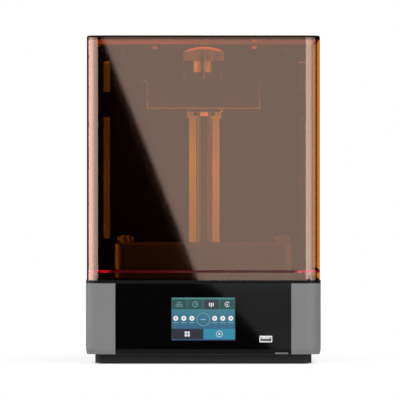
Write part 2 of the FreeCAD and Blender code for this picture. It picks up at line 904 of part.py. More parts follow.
def led_heat_sink():
    body = block("led_heat_sink", light_box_width, light_box_depth, size.sink_base, y=size.stage_y,
                 z=sink_top - size.sink_base)
    fin = sketch(body)
    rectangle(fin, size.sink_fin_thickness, light_box_depth, x=(size.sink_fin_thickness - light_box_width) / 2)
    fins = [pad(body, fin, size.sink_fin_height, downward=True)]
    repeat_along(body, fins, "X_Axis", light_box_width - size.sink_fin_thickness, size.sink_fin_count)


# Rear: fan, inlet and rocker switch. Sketch normals point to the front, so inwards.

rear_z = housing_bottom + size.rear_rise
bay_floor = back - size.bay_depth
fan_front = size.fan_depth - size.fan_plate


def fan_grille():
    body = piece("fan_grille", size.fan_x, back, rear_z, upright=True)
    plate = sketch(body)
    rectangle(plate, size.fan_size, size.fan_size, corner=size.fan_corner)
    pad(body, plate, size.housing_wall)
    row_length = size.grille_slot_pitch * (size.grille_slot_count - 1)
    slot = sketch(body)
    rectangle(slot, size.grille_slot_length, size.grille_slot_width, y=-row_length / 2)
    slots = [pocket(body, slot)]
    repeat_along(body, slots, "Y_Axis", row_length, size.grille_slot_count)


def fan_frame():
    body = piece("fan_frame", size.fan_x, back - size.housing_wall, rear_z, upright=True)
    square = sketch(body)
    rectangle(square, size.fan_size, size.fan_size, corner=size.fan_corner)
    circle(square, size.fan_bore)
    pad(body, square, size.fan_depth)
    spoke = sketch(body, fan_front)
    spoke_length = (size.fan_size + size.fan_bore) / 4
    rectangle(spoke, size.fan_spoke_width, spoke_length, y=spoke_length / 2)
    spokes = [pad(body, spoke, size.fan_plate)]
    repeat_round(body, spokes, size.fan_spoke_count)
    hub = sketch(body, fan_front)
    circle(hub, size.fan_hub)
    pad(body, hub, size.fan_plate)
    pin = sketch(body, fan_front)
    circle(pin, size.fan_pin_diameter)
    pad(body, pin, fan_front - 2 * size.fan_end_gap, downward=True)


def fan_rotor():
    body = piece("fan_rotor", size.fan_x, back - size.housing_wall, rear_z, upright=True)
    hub_length = fan_front - 2 * size.fan_end_gap
    hub = sketch(body, size.fan_end_gap)
    circle(hub, size.fan_hub)
    pad(body, hub, hub_length)
    root = size.fan_hub / 2 - size.fan_blade_thickness
    half = hub_length / 2 - size.fan_blade_thickness
    middle = size.fan_end_gap + hub_length / 2
    lean = half * size.fan_blade_slope
    edge = size.fan_blade_thickness
    section = sketch(body, root, "YZ_Plane")
    outline(section, [(-lean, middle - half), (edge - lean, middle - half),
                      (lean, middle + half), (lean - edge, middle + half)])
    blades = [pad(body, section, size.fan_bore / 2 - size.fan_tip_gap - root)]
    repeat_round(body, blades, size.fan_blade_count)
    bore = sketch(body, size.fan_end_gap + hub_length)
    circle(bore, size.fan_pin_diameter + 2 * size.fan_pin_gap)
    pocket(body, bore, hub_length - size.fan_end_gap + size.fan_pin_gap)


def power_inlet():
    body = piece("power_inlet", size.inlet_x, bay_floor, rear_z, upright=True)
    barrel, rim, bore = size.inlet_diameter / 2, size.inlet_flange_diameter / 2, size.inlet_bore / 2
    pin = size.inlet_pin_diameter / 2
    mouth = -size.inlet_flange
    bottom = mouth + size.inlet_bore_depth
    profile = sketch(body, 0, "XZ_Plane")
    outline(profile, [(0, 0), (pin, 0), (pin, bottom), (bore, bottom), (bore, mouth), (rim, mouth), (rim, 0),
                      (barrel, 0), (barrel, size.inlet_depth), (0, size.inlet_depth)])
    revolve(body, profile)


def rocker_frame():
    body = piece("rocker_frame", size.rocker_x, bay_floor, rear_z, upright=True)
    case = sketch(body)
    rectangle(case, rocker_frame_width, rocker_frame_length)
    pad(body, case, size.rocker_frame_depth)
    rim = sketch(body)
    rectangle(rim, rocker_frame_width + 2 * size.rocker_frame_rim, rocker_frame_length + 2 * size.rocker_frame_rim,
              corner=size.rocker_frame_rim)
    pad(body, rim, size.rocker_frame_flange, downward=True)
    mouth = sketch(body, -size.rocker_frame_flange)
    rectangle(mouth, size.rocker_width + 2 * size.rocker_side_gap, size.rocker_length + 2 * size.rocker_side_gap)
    pocket(body, mouth, size.rocker_frame_depth, upward=True)
    pivot = sketch(body, 0, "YZ_Plane")
    circle(pivot, size.rocker_pin_diameter + 2 * size.rocker_pin_gap, 0, size.rocker_sink)
    pocket(body, pivot, rocker_pin_length + 2 * size.rocker_side_gap, centred=True)


def power_rocker():
    # The two pressed faces slope away from the pivot; one end lies in, level with the frame's rim.
    body = piece("power_rocker", size.rocker_x, bay_floor - size.rocker_sink, rear_z, upright=True,
                 tilt=number(size.rocker_tilt))
    half = size.rocker_length / 2 - size.rocker_side_gap
    crown = -(size.rocker_sink + size.rocker_frame_flange)
    profile = sketch(body, 0, "YZ_Plane")
    outline(profile, [(-half, crown - size.rocker_rise), (0, crown), (half, crown - size.rocker_rise),
                      (half, crown), (size.rocker_heel, size.rocker_heel),
                      (-size.rocker_heel, size.rocker_heel), (-half, crown)])
    pad(body, profile, size.rocker_width, centred=True)
    pivot = sketch(body, 0, "YZ_Plane")
    circle(pivot, size.rocker_pin_diameter)
    pad(body, pivot, rocker_pin_length, centred=True)


# Mainboard

def mainboard():
    body = block("mainboard", size.board_width, size.board_depth, size.board_thickness, board_x, size.board_y,
                 board_bottom)
    chip = sketch(body, size.board_thickness)
    rectangle(chip, size.chip_size, size.chip_size)
    pad(body, chip, size.chip_height)
    row_length = size.plug_pitch * (size.plug_count - 1)
    plug = sketch(body, size.board_thickness)
    rectangle(plug, size.plug_depth, size.plug_width, size.board_width / 2 - size.plug_depth, -row_length / 2)
    repeat_along(body, [pad(body, plug, size.plug_height)], "Y_Axis", row_length, size.plug_count)


def board_posts():
    spots = four_corners(size.board_width / 2 - size.board_post_inset, size.board_depth / 2 - size.board_post_inset)
    standoffs("board_posts", size.board_post_flats, size.board_lift, spots, board_x, size.board_y,
         size.foot_stand + size.tray_floor)


# Z axis

def z_column():
    body = piece("z_column", 0, column_front, deck_top)
    half, channel = size.column_width / 2, size.channel_width / 2
    profile = sketch(body)
    outline(profile, [(-half, 0), (-channel, 0), (-channel, size.channel_depth), (channel, size.channel_depth),
                      (channel, 0), (half, 0), (half, size.column_depth), (-half, size.column_depth)])
    pad(body, profile, column_height)
    foot = sketch(body)
    web = size.column_depth - size.channel_depth
    rectangle(foot, size.column_foot_width, size.column_foot_depth + web,
              y=size.channel_depth + (size.column_foot_depth + web) / 2, corner=size.column_foot_corner)
    pad(body, foot, size.column_foot_height)


def rail(label, side):
    body = piece(label, side * size.rail_spacing / 2, column_front, deck_top + size.rail_start)
    half = size.rail_width / 2
    low = -(size.rail_height + size.rail_groove_width) / 2
    high = -(size.rail_height - size.rail_groove_width) / 2
    waist = half - size.rail_groove_depth
    profile = sketch(body)
    outline(profile, [(-half, -size.rail_height), (half, -size.rail_height), (half, low), (waist, low),
                      (waist, high), (half, high), (half, 0), (-half, 0), (-half, high), (-waist, high),
                      (-waist, low), (-half, low)])
    pad(body, profile, column_height - 2 * size.rail_start)


def top_bearing_block():
    depth = size.column_depth + size.bearing_block_front
    body = block("top_bearing_block", size.column_width, depth, size.bearing_block_height,
                 y=column_front - size.bearing_block_front + depth / 2, z=deck_top + column_height)
    seat = sketch(body)
    circle(seat, bush_diameter, y=size.bearing_block_front + size.screw_back - depth / 2)
    pocket(body, seat)


def bush(label, height, z, flanged):
    body = piece(label, 0, screw_y, z)
    ring = sketch(body)
    circle(ring, bush_diameter)
    circle(ring, bush_bore)
    pad(body, ring, height)
    if flanged:
        flange = sketch(body, height)
        circle(flange, bush_diameter + 2 * size.bush_flange)
        circle(flange, bush_bore)
        pad(body, flange, size.bush_flange_height)


def z_motor():
    body = piece("z_motor", 0, screw_y, motor_top - size.motor_height)
    half = size.motor_width / 2
    inner = half - size.motor_corner
    case = sketch(body)
    outline(case, [(-inner, -half), (inner, -half), (half, -inner), (half, inner), (inner, half), (-inner, half),
                   (-half, inner), (-half, -inner)])
    pad(body, case, size.motor_height)
    pilot = sketch(body, size.motor_height)
    circle(pilot, size.motor_pilot_diameter)
    pad(body, pilot, size.motor_pilot_height)
    bore = sketch(body, size.motor_height + size.motor_pilot_height)
    circle(bore, size.shaft_diameter + 2 * size.screw_gap)
    pocket(body, bore, size.shaft_depth + size.motor_pilot_height + size.shaft_end_gap)


def motor_posts():
    half = size.motor_hole_spacing / 2
    standoffs("motor_posts", size.motor_post_flats, size.motor_drop, four_corners(half, half), 0, screw_y, motor_top)


coupler_bottom = motor_top + size.motor_pilot_height + size.coupler_gap
coupler_middle = coupler_bottom + size.coupler_height / 2


def screw_train():
    rods("motor_shaft", size.shaft_diameter, coupler_middle - motor_top + size.shaft_depth, [(0, 0)], 0, screw_y,
         motor_top - size.shaft_depth)
    body = piece("shaft_coupler", 0, screw_y, coupler_bottom)
    sleeve = sketch(body)
    circle(sleeve, size.coupler_diameter)
    circle(sleeve, size.shaft_diameter)
    pad(body, sleeve, size.coupler_height)
    socket = sketch(body, size.coupler_height)
    circle(socket, size.screw_diameter)
    pocket(body, socket, size.coupler_height / 2)
    screw_top = deck_top + column_height + size.bearing_block_height + size.screw_stub
    rods("lead_screw", size.screw_diameter, screw_top - coupler_middle, [(0, 0)], 0, screw_y, coupler_middle)


def limit_sensor():
    body = piece("limit_sensor", size.column_width / 2, column_front + size.screw_back, deck_top + size.sensor_lift)
    base = sketch(body)
    rectangle(base, size.sensor_width, size.sensor_depth, size.sensor_width / 2)
    pad(body, base, size.sensor_base + size.sensor_prong)
    slot = sketch(body, size.sensor_base + size.sensor_prong)
    rectangle(slot, size.sensor_slot, 2 * size.sensor_depth, flag_x - size.column_width / 2)
    pocket(body, slot, size.sensor_prong)


def back_shield():
    shield_y = cover_depth / 2 - size.cover_wall - size.shield_gap - size.shield_thickness
    height = cover_ceiling - size.shield_headroom - deck_top
    body = piece("back_shield", 0, shield_y, deck_top)
    half = cover_width / 2 - size.cover_wall - size.shield_side_gap
    skin, reach = size.shield_thickness, -size.shield_return
    plan = sketch(body)
    outline(plan, [(-half, skin), (-half, reach), (skin - half, reach), (skin - half, 0), (half - skin, 0),
                   (half - skin, reach), (half, reach), (half, skin)])
    pad(body, plan, height)
    foot = sketch(body)
    rectangle(foot, 2 * (half - size.shield_foot_inset), size.shield_foot_depth + skin,
              y=(skin - size.shield_foot_depth) / 2)
    pad(body, foot, skin)
    lower = height - size.vent_top - size.vent_upper - size.vent_bridge - size.vent_bottom
    vents = sketch(body, 0, "XZ_Plane")
    for side in (-1, 1):
        rectangle(vents, size.vent_width, lower, side * size.vent_x, size.vent_bottom + lower / 2)
        rectangle(vents, size.vent_width, size.vent_upper, side * size.vent_x,
                  height - size.vent_top - size.vent_upper / 2)
    pocket(body, vents, skin)
    notches = sketch(body)
    for side in (-1, 1):
        rectangle(notches, 2 * size.shield_notch, 2 * (size.shield_return + skin), side * half)
    pocket(body, notches, size.lip_height + size.lip_gap, upward=True)


# Carriage and platform

def rail_block(label, side):
    body = piece(label, side * size.rail_spacing / 2, column_front, block_bottom)
    half = size.block_width / 2
    groove = size.rail_width / 2 + size.block_clearance
    face = block_front - column_front
    groove_floor = -(size.rail_height + size.block_clearance)
    profile = sketch(body)
    outline(profile, [(-half, face), (half, face), (half, -size.block_gap), (groove, -size.block_gap),
                      (groove, groove_floor), (-groove, groove_floor), (-groove, -size.block_gap),
                      (-half, -size.block_gap)])
    pad(body, profile, size.block_height)


def carriage_plate():
    block("carriage_plate", size.carriage_width, size.carriage_thickness, arm_top - carriage_bottom,
          y=carriage_front + size.carriage_thickness / 2, z=carriage_bottom)


def lead_nut():
    body = piece("lead_nut", 0, screw_y, block_bottom + size.nut_lift)
    reach = screw_y - block_front
    profile = sketch(body)
    rectangle(profile, size.nut_width, reach + size.nut_back, y=(size.nut_back - reach) / 2)
    circle(profile, bush_bore)
    pad(body, profile, size.nut_height)


def carriage_bolts():
    body = piece("carriage_bolts", 0, block_front, block_bottom + size.bolt_lift, upright=True)
    heads = sketch(body)
    for side in (-1, 1):
        circle(heads, size.bolt_diameter, side * size.bolt_x)
    pad(body, heads, size.bolt_height)


def sensor_flag():
    # A bent sheet blade that enters the sensor's slot at the bottom of the travel.
    body = piece("sensor_flag", 0, column_front, carriage_bottom)
    seat = size.rail_spacing / 2 + size.block_width / 2
    blade = flag_x - size.flag_thickness / 2
    skin = size.flag_thickness
    bend = -size.block_gap
    face = block_front - column_front + skin
    tail = size.screw_back + size.sensor_depth / 2
    profile = sketch(body)
    outline(profile, [(seat, face), (seat + skin, face), (seat + skin, bend), (blade + skin, bend),
                      (blade + skin, tail), (blade, tail), (blade, bend + skin), (seat, bend + skin)])
    pad(body, profile, size.flag_height)


def platform_arm():
    body = piece("platform_arm", 0, size.stage_y, platform_top)
    half = size.arm_width / 2
    nose, tail, corner = -size.arm_nose, carriage_front - size.stage_y, size.arm_corner
    slot = size.stud_diameter / 2 + size.arm_slot_gap
    plan = sketch(body)
    outline(plan, [(-half, tail), (-half, nose + corner), (corner - half, nose), (-slot, nose), (-slot, 0), (0, slot),
                   (slot, 0), (slot, nose), (half - corner, nose), (half, nose + corner), (half, tail)],
            {1: (corner, False), 4: (slot, True), 5: (slot, True), 8: (corner, False)})
    pad(body, plan, size.arm_thickness)
    rib = sketch(body, half - size.gusset_thickness, "YZ_Plane")
    outline(rib, [(tail - size.gusset_length, 0), (tail, -size.gusset_height), (tail, size.arm_thickness),
                  (tail - size.gusset_length, size.arm_thickness)])
    ribs = [pad(body, rib, size.gusset_thickness)]
    mirror(body, ribs, "YZ_Plane")


def platform_body():
    body = block("platform_body", size.platform_width, size.platform_depth, size.platform_height, y=size.stage_y,
                 z=platform_seam, corner=size.platform_corner)
    lip = sketch(body, size.platform_height)
    rectangle(lip, size.platform_width + 2 * size.platform_lip, size.platform_depth + 2 * size.platform_lip,
              corner=size.platform_corner + size.platform_lip)
    pad(body, lip, size.platform_lip_height, downward=True)
    hollow = sketch(body)
    rectangle(hollow, size.platform_width - 2 * size.platform_wall, size.platform_depth - 2 * size.platform_wall)
    circle(hollow, size.platform_boss_diameter)
    pocket(body, hollow, size.platform_height - size.platform_roof, upward=True)
    thread = sketch(body)
    circle(thread, size.stud_diameter + 2 * size.thread_gap)
    pocket(body, thread)


def build_plate():
    body = block("build_plate", size.platform_width, size.platform_depth, size.build_plate_height, y=size.stage_y,
                 z=platform_bottom, corner=size.platform_corner)
    chamfer(body, edges_at(body, 0), size.build_plate_chamfer)


def level_screws():
    rods("level_screws", size.level_screw_diameter, size.level_screw_height,
         four_corners(size.level_screw_x, size.level_screw_y), 0, size.stage_y, platform_top)


def clamp():
    rods("clamp_stud", size.stud_diameter, size.stud_grip + size.arm_thickness + size.stud_seat, [(0, 0)],
         0, size.stage_y, platform_top - size.stud_grip)
    body = piece("clamp_knob", 0, size.stage_y, arm_top)
    stud, hub, grip = size.stud_diameter / 2, size.knob_hub_diameter / 2, size.knob_diameter / 2
    grip_top = size.knob_hub_height + size.knob_grip_height
    crown = grip_top + size.knob_dome_height
    dome_radius = (grip * grip + size.knob_dome_height * size.knob_dome_height) / (2 * size.knob_dome_height)
    profile = sketch(body, 0, "XZ_Plane")
    outline(profile, [(stud, 0), (hub, 0), (hub, size.knob_hub_height), (grip, size.knob_hub_height),
                      (grip, grip_top), (0, crown), (0, size.stud_seat), (stud, size.stud_seat)],
            {4: (dome_radius, False)})
    revolve(body, profile)
    flute = sketch(body, size.knob_hub_height)
    groove(flute, grip, size.knob_flute_width, size.knob_flute_depth)
    flutes = [pocket(body, flute, size.knob_grip_height, upward=True)]
    repeat_round(body, flutes, size.knob_flute_count)


# Cover

stripe_seat = size.stripe_depth + size.stripe_gap


def cover_shell():
    body = block("cover_shell", cover_width, cover_depth, size.cover_height - size.cover_roof, z=deck_top,
                 corner=cover_corner)
    hollow = sketch(body)
    rectangle(hollow, cover_width - 2 * size.cover_wall, cover_depth - 2 * size.cover_wall,
              corner=cover_corner - size.cover_wall)
    pocket(body, hollow)
    groove = sketch(body, size.stripe_rise)
    rectangle(groove, cover_width + 2 * stripe_seat, cover_depth + 2 * stripe_seat, corner=cover_corner + stripe_seat)
    rectangle(groove, cover_width - 2 * stripe_seat, cover_depth - 2 * stripe_seat, corner=cover_corner - stripe_seat)
    pocket(body, groove, size.stripe_height, upward=True)


def cover_top():
    body = block("cover_top", cover_width, cover_depth, size.cover_roof, z=cover_ceiling, corner=cover_corner)
    fillet(body, edges_at(body, size.cover_roof), size.cover_edge)


def cover_stripe():
    body = block("cover_stripe", cover_width, cover_depth, size.stripe_height, z=deck_top + size.stripe_rise,
                 corner=cover_corner)
    inside = sketch(body)
    rectangle(inside, cover_width - 2 * size.stripe_depth, cover_depth - 2 * size.stripe_depth,
              corner=cover_corner - size.stripe_depth)
    pocket(body, inside)


base_tray()
rubber_feet()
housing_shell()
front_panel()
touch_screen()
display_module()
usb_socket()
status_light()
top_deck()
lcd_stage()
lcd_glass()
film_ring()
release_film()
vat_frame()
vat_screw("vat_screw_left", -1)
vat_screw("vat_screw_right", 1)
light_box()
led_board()
uv_leds()
led_heat_sink()
fan_grille()
fan_frame()
fan_rotor()
power_inlet()
rocker_frame()
power_rocker()
mainboard()
board_posts()
z_column()
rail("left_rail", -1)
rail("right_rail", 1)
top_bearing_block()
bush("lower_bush", size.deck_thickness, deck_bottom, True)
bush("upper_bush", size.bearing_block_height, deck_top + column_height, False)
z_motor()
motor_posts()
screw_train()
limit_sensor()
back_shield()
rail_block("left_rail_block", -1)
rail_block("right_rail_block", 1)
carriage_plate()
lead_nut()
carriage_bolts()
sensor_flag()
platform_arm()
platform_body()
build_plate()
level_screws()
clamp()
cover_shell()
cover_top()
cover_stripe()
doc.recompute()

for item in doc.Objects:
    if "Invalid" in item.State or "Error" in item.State:
        raise ValueError(f"{item.Label} failed: {item.State}")
for body in pieces:
    if body.Shape.isNull() or not body.Shape.isValid() or not body.Shape.Solids:
        raise ValueError(f"{body.Label} has no sound shape")

os.makedirs("parts", exist_ok=True)
for body in pieces:
    body.Shape.exportStep(f"parts/{body.Label}.step")
print(f"{len(pieces)} pieces, {sum(len(body.Shape.Solids) for body in pieces)} solids")
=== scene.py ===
import math
import bmesh
import bpy
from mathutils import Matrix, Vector


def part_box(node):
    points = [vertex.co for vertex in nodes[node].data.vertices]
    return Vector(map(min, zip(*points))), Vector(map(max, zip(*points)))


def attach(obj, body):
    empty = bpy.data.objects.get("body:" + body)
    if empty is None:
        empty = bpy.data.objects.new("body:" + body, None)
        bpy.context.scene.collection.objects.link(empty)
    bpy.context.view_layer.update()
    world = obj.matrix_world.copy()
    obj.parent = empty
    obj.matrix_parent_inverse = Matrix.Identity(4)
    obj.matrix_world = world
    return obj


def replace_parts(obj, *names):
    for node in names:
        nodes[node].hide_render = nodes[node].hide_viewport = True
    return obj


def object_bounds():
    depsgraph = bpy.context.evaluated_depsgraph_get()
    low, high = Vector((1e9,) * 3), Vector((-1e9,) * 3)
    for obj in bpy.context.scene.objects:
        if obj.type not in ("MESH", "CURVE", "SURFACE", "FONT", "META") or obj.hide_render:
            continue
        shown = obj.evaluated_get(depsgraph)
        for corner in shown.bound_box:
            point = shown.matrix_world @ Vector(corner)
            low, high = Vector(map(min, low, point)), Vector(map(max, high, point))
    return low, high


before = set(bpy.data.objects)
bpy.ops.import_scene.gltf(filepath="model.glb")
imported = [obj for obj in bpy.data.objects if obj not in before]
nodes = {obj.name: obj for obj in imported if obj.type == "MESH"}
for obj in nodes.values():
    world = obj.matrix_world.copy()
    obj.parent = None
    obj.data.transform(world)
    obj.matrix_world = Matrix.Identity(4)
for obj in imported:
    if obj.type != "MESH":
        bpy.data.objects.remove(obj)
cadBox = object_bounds()
scene = bpy.context.scene
mm = 0.001
pureWhite = (1, 1, 1, 1)
pureBlack = (0, 0, 0, 1)
print("frame loaded:", len(nodes), "nodes")


def tone(red, green, blue):  # screen colour 0-255 to the linear colour that the sockets take
    steps = [part / 255 for part in (red, green, blue)]
    return tuple(s / 12.92 if s < 0.04045 else ((s + 0.055) / 1.055) ** 2.4 for s in steps) + (1.0,)


def dimmed(colour, share):
    return tuple(part * share for part in colour[:3]) + (1.0,)


class Wire:  # a socket of a node tree; arithmetic on it adds Math nodes
    def __init__(self, tree, socket=None):
        self.tree = tree
        self.socket = socket

    def make(self, kind, settings=None, inputs=None, output=0):
        node = self.tree.nodes.new(kind)
        for name, value in (settings or {}).items():
            if name == "stops":
                fillRamp(node.color_ramp, value)
            else:
                setattr(node, name, value)
        for name, value in (inputs or {}).items():
            if isinstance(value, Wire):
                self.tree.links.new(value.socket, node.inputs[name])
            else:
                node.inputs[name].default_value = value
        return Wire(self.tree, node.outputs[output]) if node.outputs else None

    def math(self, operation, first, second=0.0):
        return self.make("ShaderNodeMath", {"operation": operation}, {0: first, 1: second})

    def __add__(self, other):
        return self.math("ADD", self, other)

    __radd__ = __add__

    def __sub__(self, other):
        return self.math("SUBTRACT", self, other)

    def __rsub__(self, other):
        return self.math("SUBTRACT", other, self)

    def __mul__(self, other):
        return self.math("MULTIPLY", self, other)

    __rmul__ = __mul__

    def __truediv__(self, other):
        return self.math("DIVIDE", self, other)

    def __abs__(self):
        return self.math("ABSOLUTE", self)

    def ramp(self, low, high, start=0.0, end=1.0):  # smooth step from low to high
        return self.make("ShaderNodeMapRange", {"interpolation_type": "SMOOTHSTEP"},
                         {"Value": self, "From Min": low, "From Max": high, "To Min": start, "To Max": end})

    def outputs(self):  # every output of the node that this socket is on
        return {socket.name: Wire(self.tree, socket) for socket in self.socket.node.outputs if socket.name}

    def axes(self):  # the three parts of a vector
        return list(self.make("ShaderNodeSeparateXYZ", {}, {0: self}).outputs().values())


def fillRamp(ramp, stops):
    while len(ramp.elements) < len(stops):
        ramp.elements.new(1.0)
    for element, (position, colour) in zip(ramp.elements, stops):
        element.position = position
        element.color = colour


def startMaterial(name):
    material = bpy.data.materials.new(name)
    material.use_nodes = True
    material.node_tree.nodes.clear()
    return material, Wire(material.node_tree)


def endMaterial(material, wire, shader):
    wire.make("ShaderNodeOutputMaterial", {}, {"Surface": shader})
    return material


def mixColour(wire, factor, first, second):
    return wire.make("ShaderNodeMix", {"data_type": "RGBA"}, {0: factor, 6: first, 7: second}, output=2)


def mixShader(wire, factor, first, second):
    return wire.make("ShaderNodeMixShader", {}, {0: factor, 1: first, 2: second})


def seeThrough(wire, colour):
    return wire.make("ShaderNodeBsdfTransparent", {}, {"Color": colour})


def principled(wire, inputs):
    return wire.make("ShaderNodeBsdfPrincipled", {}, inputs)


def bumped(wire, height, strength, depth):
    return wire.make("ShaderNodeBump", {}, {"Strength": strength, "Distance": depth, "Height": height})


def objectPlace(wire):
    return wire.make("ShaderNodeTexCoord", output="Object")


def noise(wire, spot, scale, detail=3.0, stretch=(1, 1, 1)):
    turned = wire.make("ShaderNodeMapping", {}, {"Vector": spot, "Scale": stretch})
    return wire.make("ShaderNodeTexNoise", {}, {"Vector": turned, "Scale": scale, "Detail": detail},
                     output="Fac")


def surfaceNormal(wire):
    return wire.make("ShaderNodeNewGeometry", output="Normal")


edgeLook = dict(corner=0.74, face=0.99, narrowBy=0.17, upright=(0.05, 0.3))


def edgeMask(wire, narrow):  # 1 on chamfers and rounded corners, 0 on faces square to the axes
    x, y, z = [abs(part) for part in surfaceNormal(wire).axes()]
    squarest = wire.math("MAXIMUM", wire.math("MAXIMUM", x, y), z)
    return squarest.ramp(edgeLook["corner"], edgeLook["face"] - edgeLook["narrowBy"] * narrow, 1.0, 0.0)


softEdge = 0.2 * mm  # over this length one tone goes over into the next
surfaceLook = dict(mainShare=0.6, contrast=(0.3, 0.7), secondShare=0.86, grainDetail=4.0, coatRoughness=0.06,
                   shadeTone=(0.4, 0.4, 0.4, 1), railShadeTone=(0.02, 0.02, 0.02, 1))
finishDefaults = dict(colour=(0.5, 0.5, 0.5, 1), second=None, roughness=0.5, spread=0.1, metallic=0.0,
                      shine=0.5, coat=0.0, cloudScale=25.0, grainScale=900.0, stretch=(1, 1, 1), bump=0.1,
                      grainDepth=0.05 * mm, edge=None, edgeRoughness=0.25, edgeMetal=1.0, edgeNarrow=0,
                      edgeUpright=0, shade=None, railShade=None)


def finish(name, **look):
    look = {**finishDefaults, **look}
    main, rest = surfaceLook["mainShare"], 1 - surfaceLook["mainShare"]
    material, wire = startMaterial(name)
    spot = objectPlace(wire)
    cloud = noise(wire, spot, look["cloudScale"])
    grain = noise(wire, spot, look["grainScale"], surfaceLook["grainDetail"], look["stretch"])
    second = look["second"] or dimmed(look["colour"], surfaceLook["secondShare"])
    mottle = (cloud * main + grain * rest).ramp(*surfaceLook["contrast"])
    colour = mixColour(wire, mottle, look["colour"], second)
    roughness = (grain * main + cloud * rest - 0.5) * look["spread"] + look["roughness"]
    metallic = look["metallic"]
    if look["shade"]:  # painted shade inside an opening: darker from and to a depth along y
        colour = mixColour(wire, spot.axes()[1].ramp(*look["shade"]), colour, surfaceLook["shadeTone"])
    if look["railShade"]:  # painted shade beside a pair of rails, where they stand proud of the column: their offset from the middle, its half width
        offset, half = look["railShade"]
        beside = abs(abs(spot.axes()[0]) - offset).ramp(half - softEdge, half, 1.0, 0.0)
        colour = mixColour(wire, beside, colour, surfaceLook["railShadeTone"])
    # a lighter tone on chamfers and rounded corners: bare metal, and a painted highlight; edgeNarrow keeps it
    # to a narrower band, edgeUpright to the upright corners
    if look["edge"]:
        mask = edgeMask(wire, look["edgeNarrow"])
        if look["edgeUpright"]:  # only the upright corners
            mask = mask * abs(surfaceNormal(wire).axes()[2]).ramp(*edgeLook["upright"], 1.0, 0.0)
        colour = mixColour(wire, mask, colour, look["edge"])
        roughness = roughness * (1 - mask) + mask * look["edgeRoughness"]
        metallic = mask * (look["edgeMetal"] - look["metallic"]) + look["metallic"]
    shader = principled(wire, {
        "Base Color": colour, "Roughness": roughness, "Metallic": metallic,
        "Normal": bumped(wire, grain, look["bump"], look["grainDepth"]), "Specular IOR Level": look["shine"],
        "Coat Weight": look["coat"], "Coat Roughness": surfaceLook["coatRoughness"]})
    return endMaterial(material, wire, shader)


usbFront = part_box("usb_shell")[0].y
alongX = (0.03, 1, 1)  # brushed along x, and so on
alongY = (1, 0.03, 1)
alongZ = (1, 1, 0.03)
finishes = {
    "trayBlack": dict(colour=tone(37, 37, 37), roughness=0.55, shine=0.12, bump=0.2, grainScale=1400),
    "footRubber": dict(colour=tone(28, 28, 28), roughness=0.85, bump=0.3, shine=0.3),
    "housingGrey": dict(colour=tone(112, 112, 113), second=tone(106, 106, 107), roughness=0.42, spread=0.08,
                        shine=0.15, bump=0.06, grainScale=1600, cloudScale=9),
    "panelGloss": dict(colour=tone(4, 4, 5), roughness=0.035, spread=0.02, bump=0.0, shine=0.22,
                       cloudScale=40),
    "deckBlack": dict(colour=tone(8, 8, 9), roughness=0.4, spread=0.1, shine=0.12, bump=0.05),
    "stageBlack": dict(colour=tone(18, 17, 16), roughness=0.4, spread=0.1, bump=0.08, edge=tone(70, 66, 60)),
    "lcdGlass": dict(colour=tone(8, 8, 12), roughness=0.08, spread=0.03, bump=0.0),
    "moduleGrey": dict(colour=tone(110, 110, 112), roughness=0.6),
    # painted shade deeper inside the socket
    "socketSteel": dict(colour=tone(244, 244, 242), metallic=0.5, roughness=0.32, stretch=alongX,
                        grainScale=500, shade=(usbFront + 0.6 * mm, usbFront + 3.0 * mm)),
    "socketWhite": dict(colour=tone(222, 222, 220), roughness=0.45, spread=0.05),
    "boxSteel": dict(colour=tone(170, 170, 172), metallic=1.0, roughness=0.35, cloudScale=60),
    "boardGreen": dict(colour=tone(18, 78, 44), second=tone(30, 104, 58), roughness=0.4, cloudScale=160),
    "ledLens": dict(colour=tone(220, 216, 170), roughness=0.2, coat=0.6),
    "sinkAluminium": dict(colour=tone(184, 185, 188), metallic=1.0, roughness=0.38, stretch=alongY),
    "fanBlack": dict(colour=tone(22, 22, 23), roughness=0.55, bump=0.15, grainScale=1200),
    # the column has painted shade beside its rails
    "columnAluminium": dict(colour=tone(238, 232, 220), metallic=0.36, roughness=0.36, stretch=alongZ,
                            spread=0.16, railShade=(14.3 * mm, 5.5 * mm)),
    "bearingAluminium": dict(colour=tone(176, 176, 178), metallic=1.0, roughness=0.36, stretch=alongX),
    "armAluminium": dict(colour=tone(52, 51, 50), metallic=0.7, roughness=0.42, stretch=alongX,
                         edge=tone(86, 84, 80), edgeRoughness=0.5),
    "railSteel": dict(colour=tone(250, 241, 222), metallic=0.36, roughness=0.3, stretch=alongZ, spread=0.14),
    "blockSteel": dict(colour=tone(248, 241, 224), metallic=0.38, roughness=0.3, stretch=alongX, spread=0.14),
    "bushBrass": dict(colour=tone(255, 222, 150), metallic=1.0, roughness=0.08, spread=0.06, cloudScale=80),
    "screwSteel": dict(colour=tone(122, 118, 112), metallic=1.0, roughness=0.34, spread=0.1),
    "motorBlack": dict(colour=tone(34, 34, 35), roughness=0.45),
    "couplerAluminium": dict(colour=tone(186, 186, 190), metallic=1.0, roughness=0.3),
    "shieldBlack": dict(colour=tone(6, 6, 6), roughness=0.7, shine=0.05, bump=0.0, cloudScale=6),
    "boltBlack": dict(colour=tone(18, 18, 19), roughness=0.55, shine=0.15),
    # platform and plate: lighter edges, bare metal and a painted highlight
    "platformBlack": dict(colour=tone(20, 19, 18), roughness=0.45, bump=0.1, shine=0.3, stretch=alongX,
                          edge=tone(150, 146, 140), edgeRoughness=0.5, edgeMetal=0.3, edgeNarrow=1),
    "plateBlasted": dict(colour=tone(44, 43, 42), metallic=0.5, roughness=0.55, bump=0.35, grainScale=2200,
                         edge=tone(226, 218, 206), edgeRoughness=0.5, edgeMetal=0.2, edgeNarrow=1),
    # the vat's upright rounded corners take a lighter tone: a painted highlight
    "vatBlack": dict(colour=tone(13, 12, 11), roughness=0.36, bump=0.08, stretch=alongX,
                     edge=tone(104, 98, 80), edgeRoughness=0.42, edgeMetal=0.6, edgeUpright=1),
    "thumbSteel": dict(colour=tone(92, 89, 84), metallic=1.0, roughness=0.34, cloudScale=90),
}
made = {name: finish(name, **look) for name, look in finishes.items()}

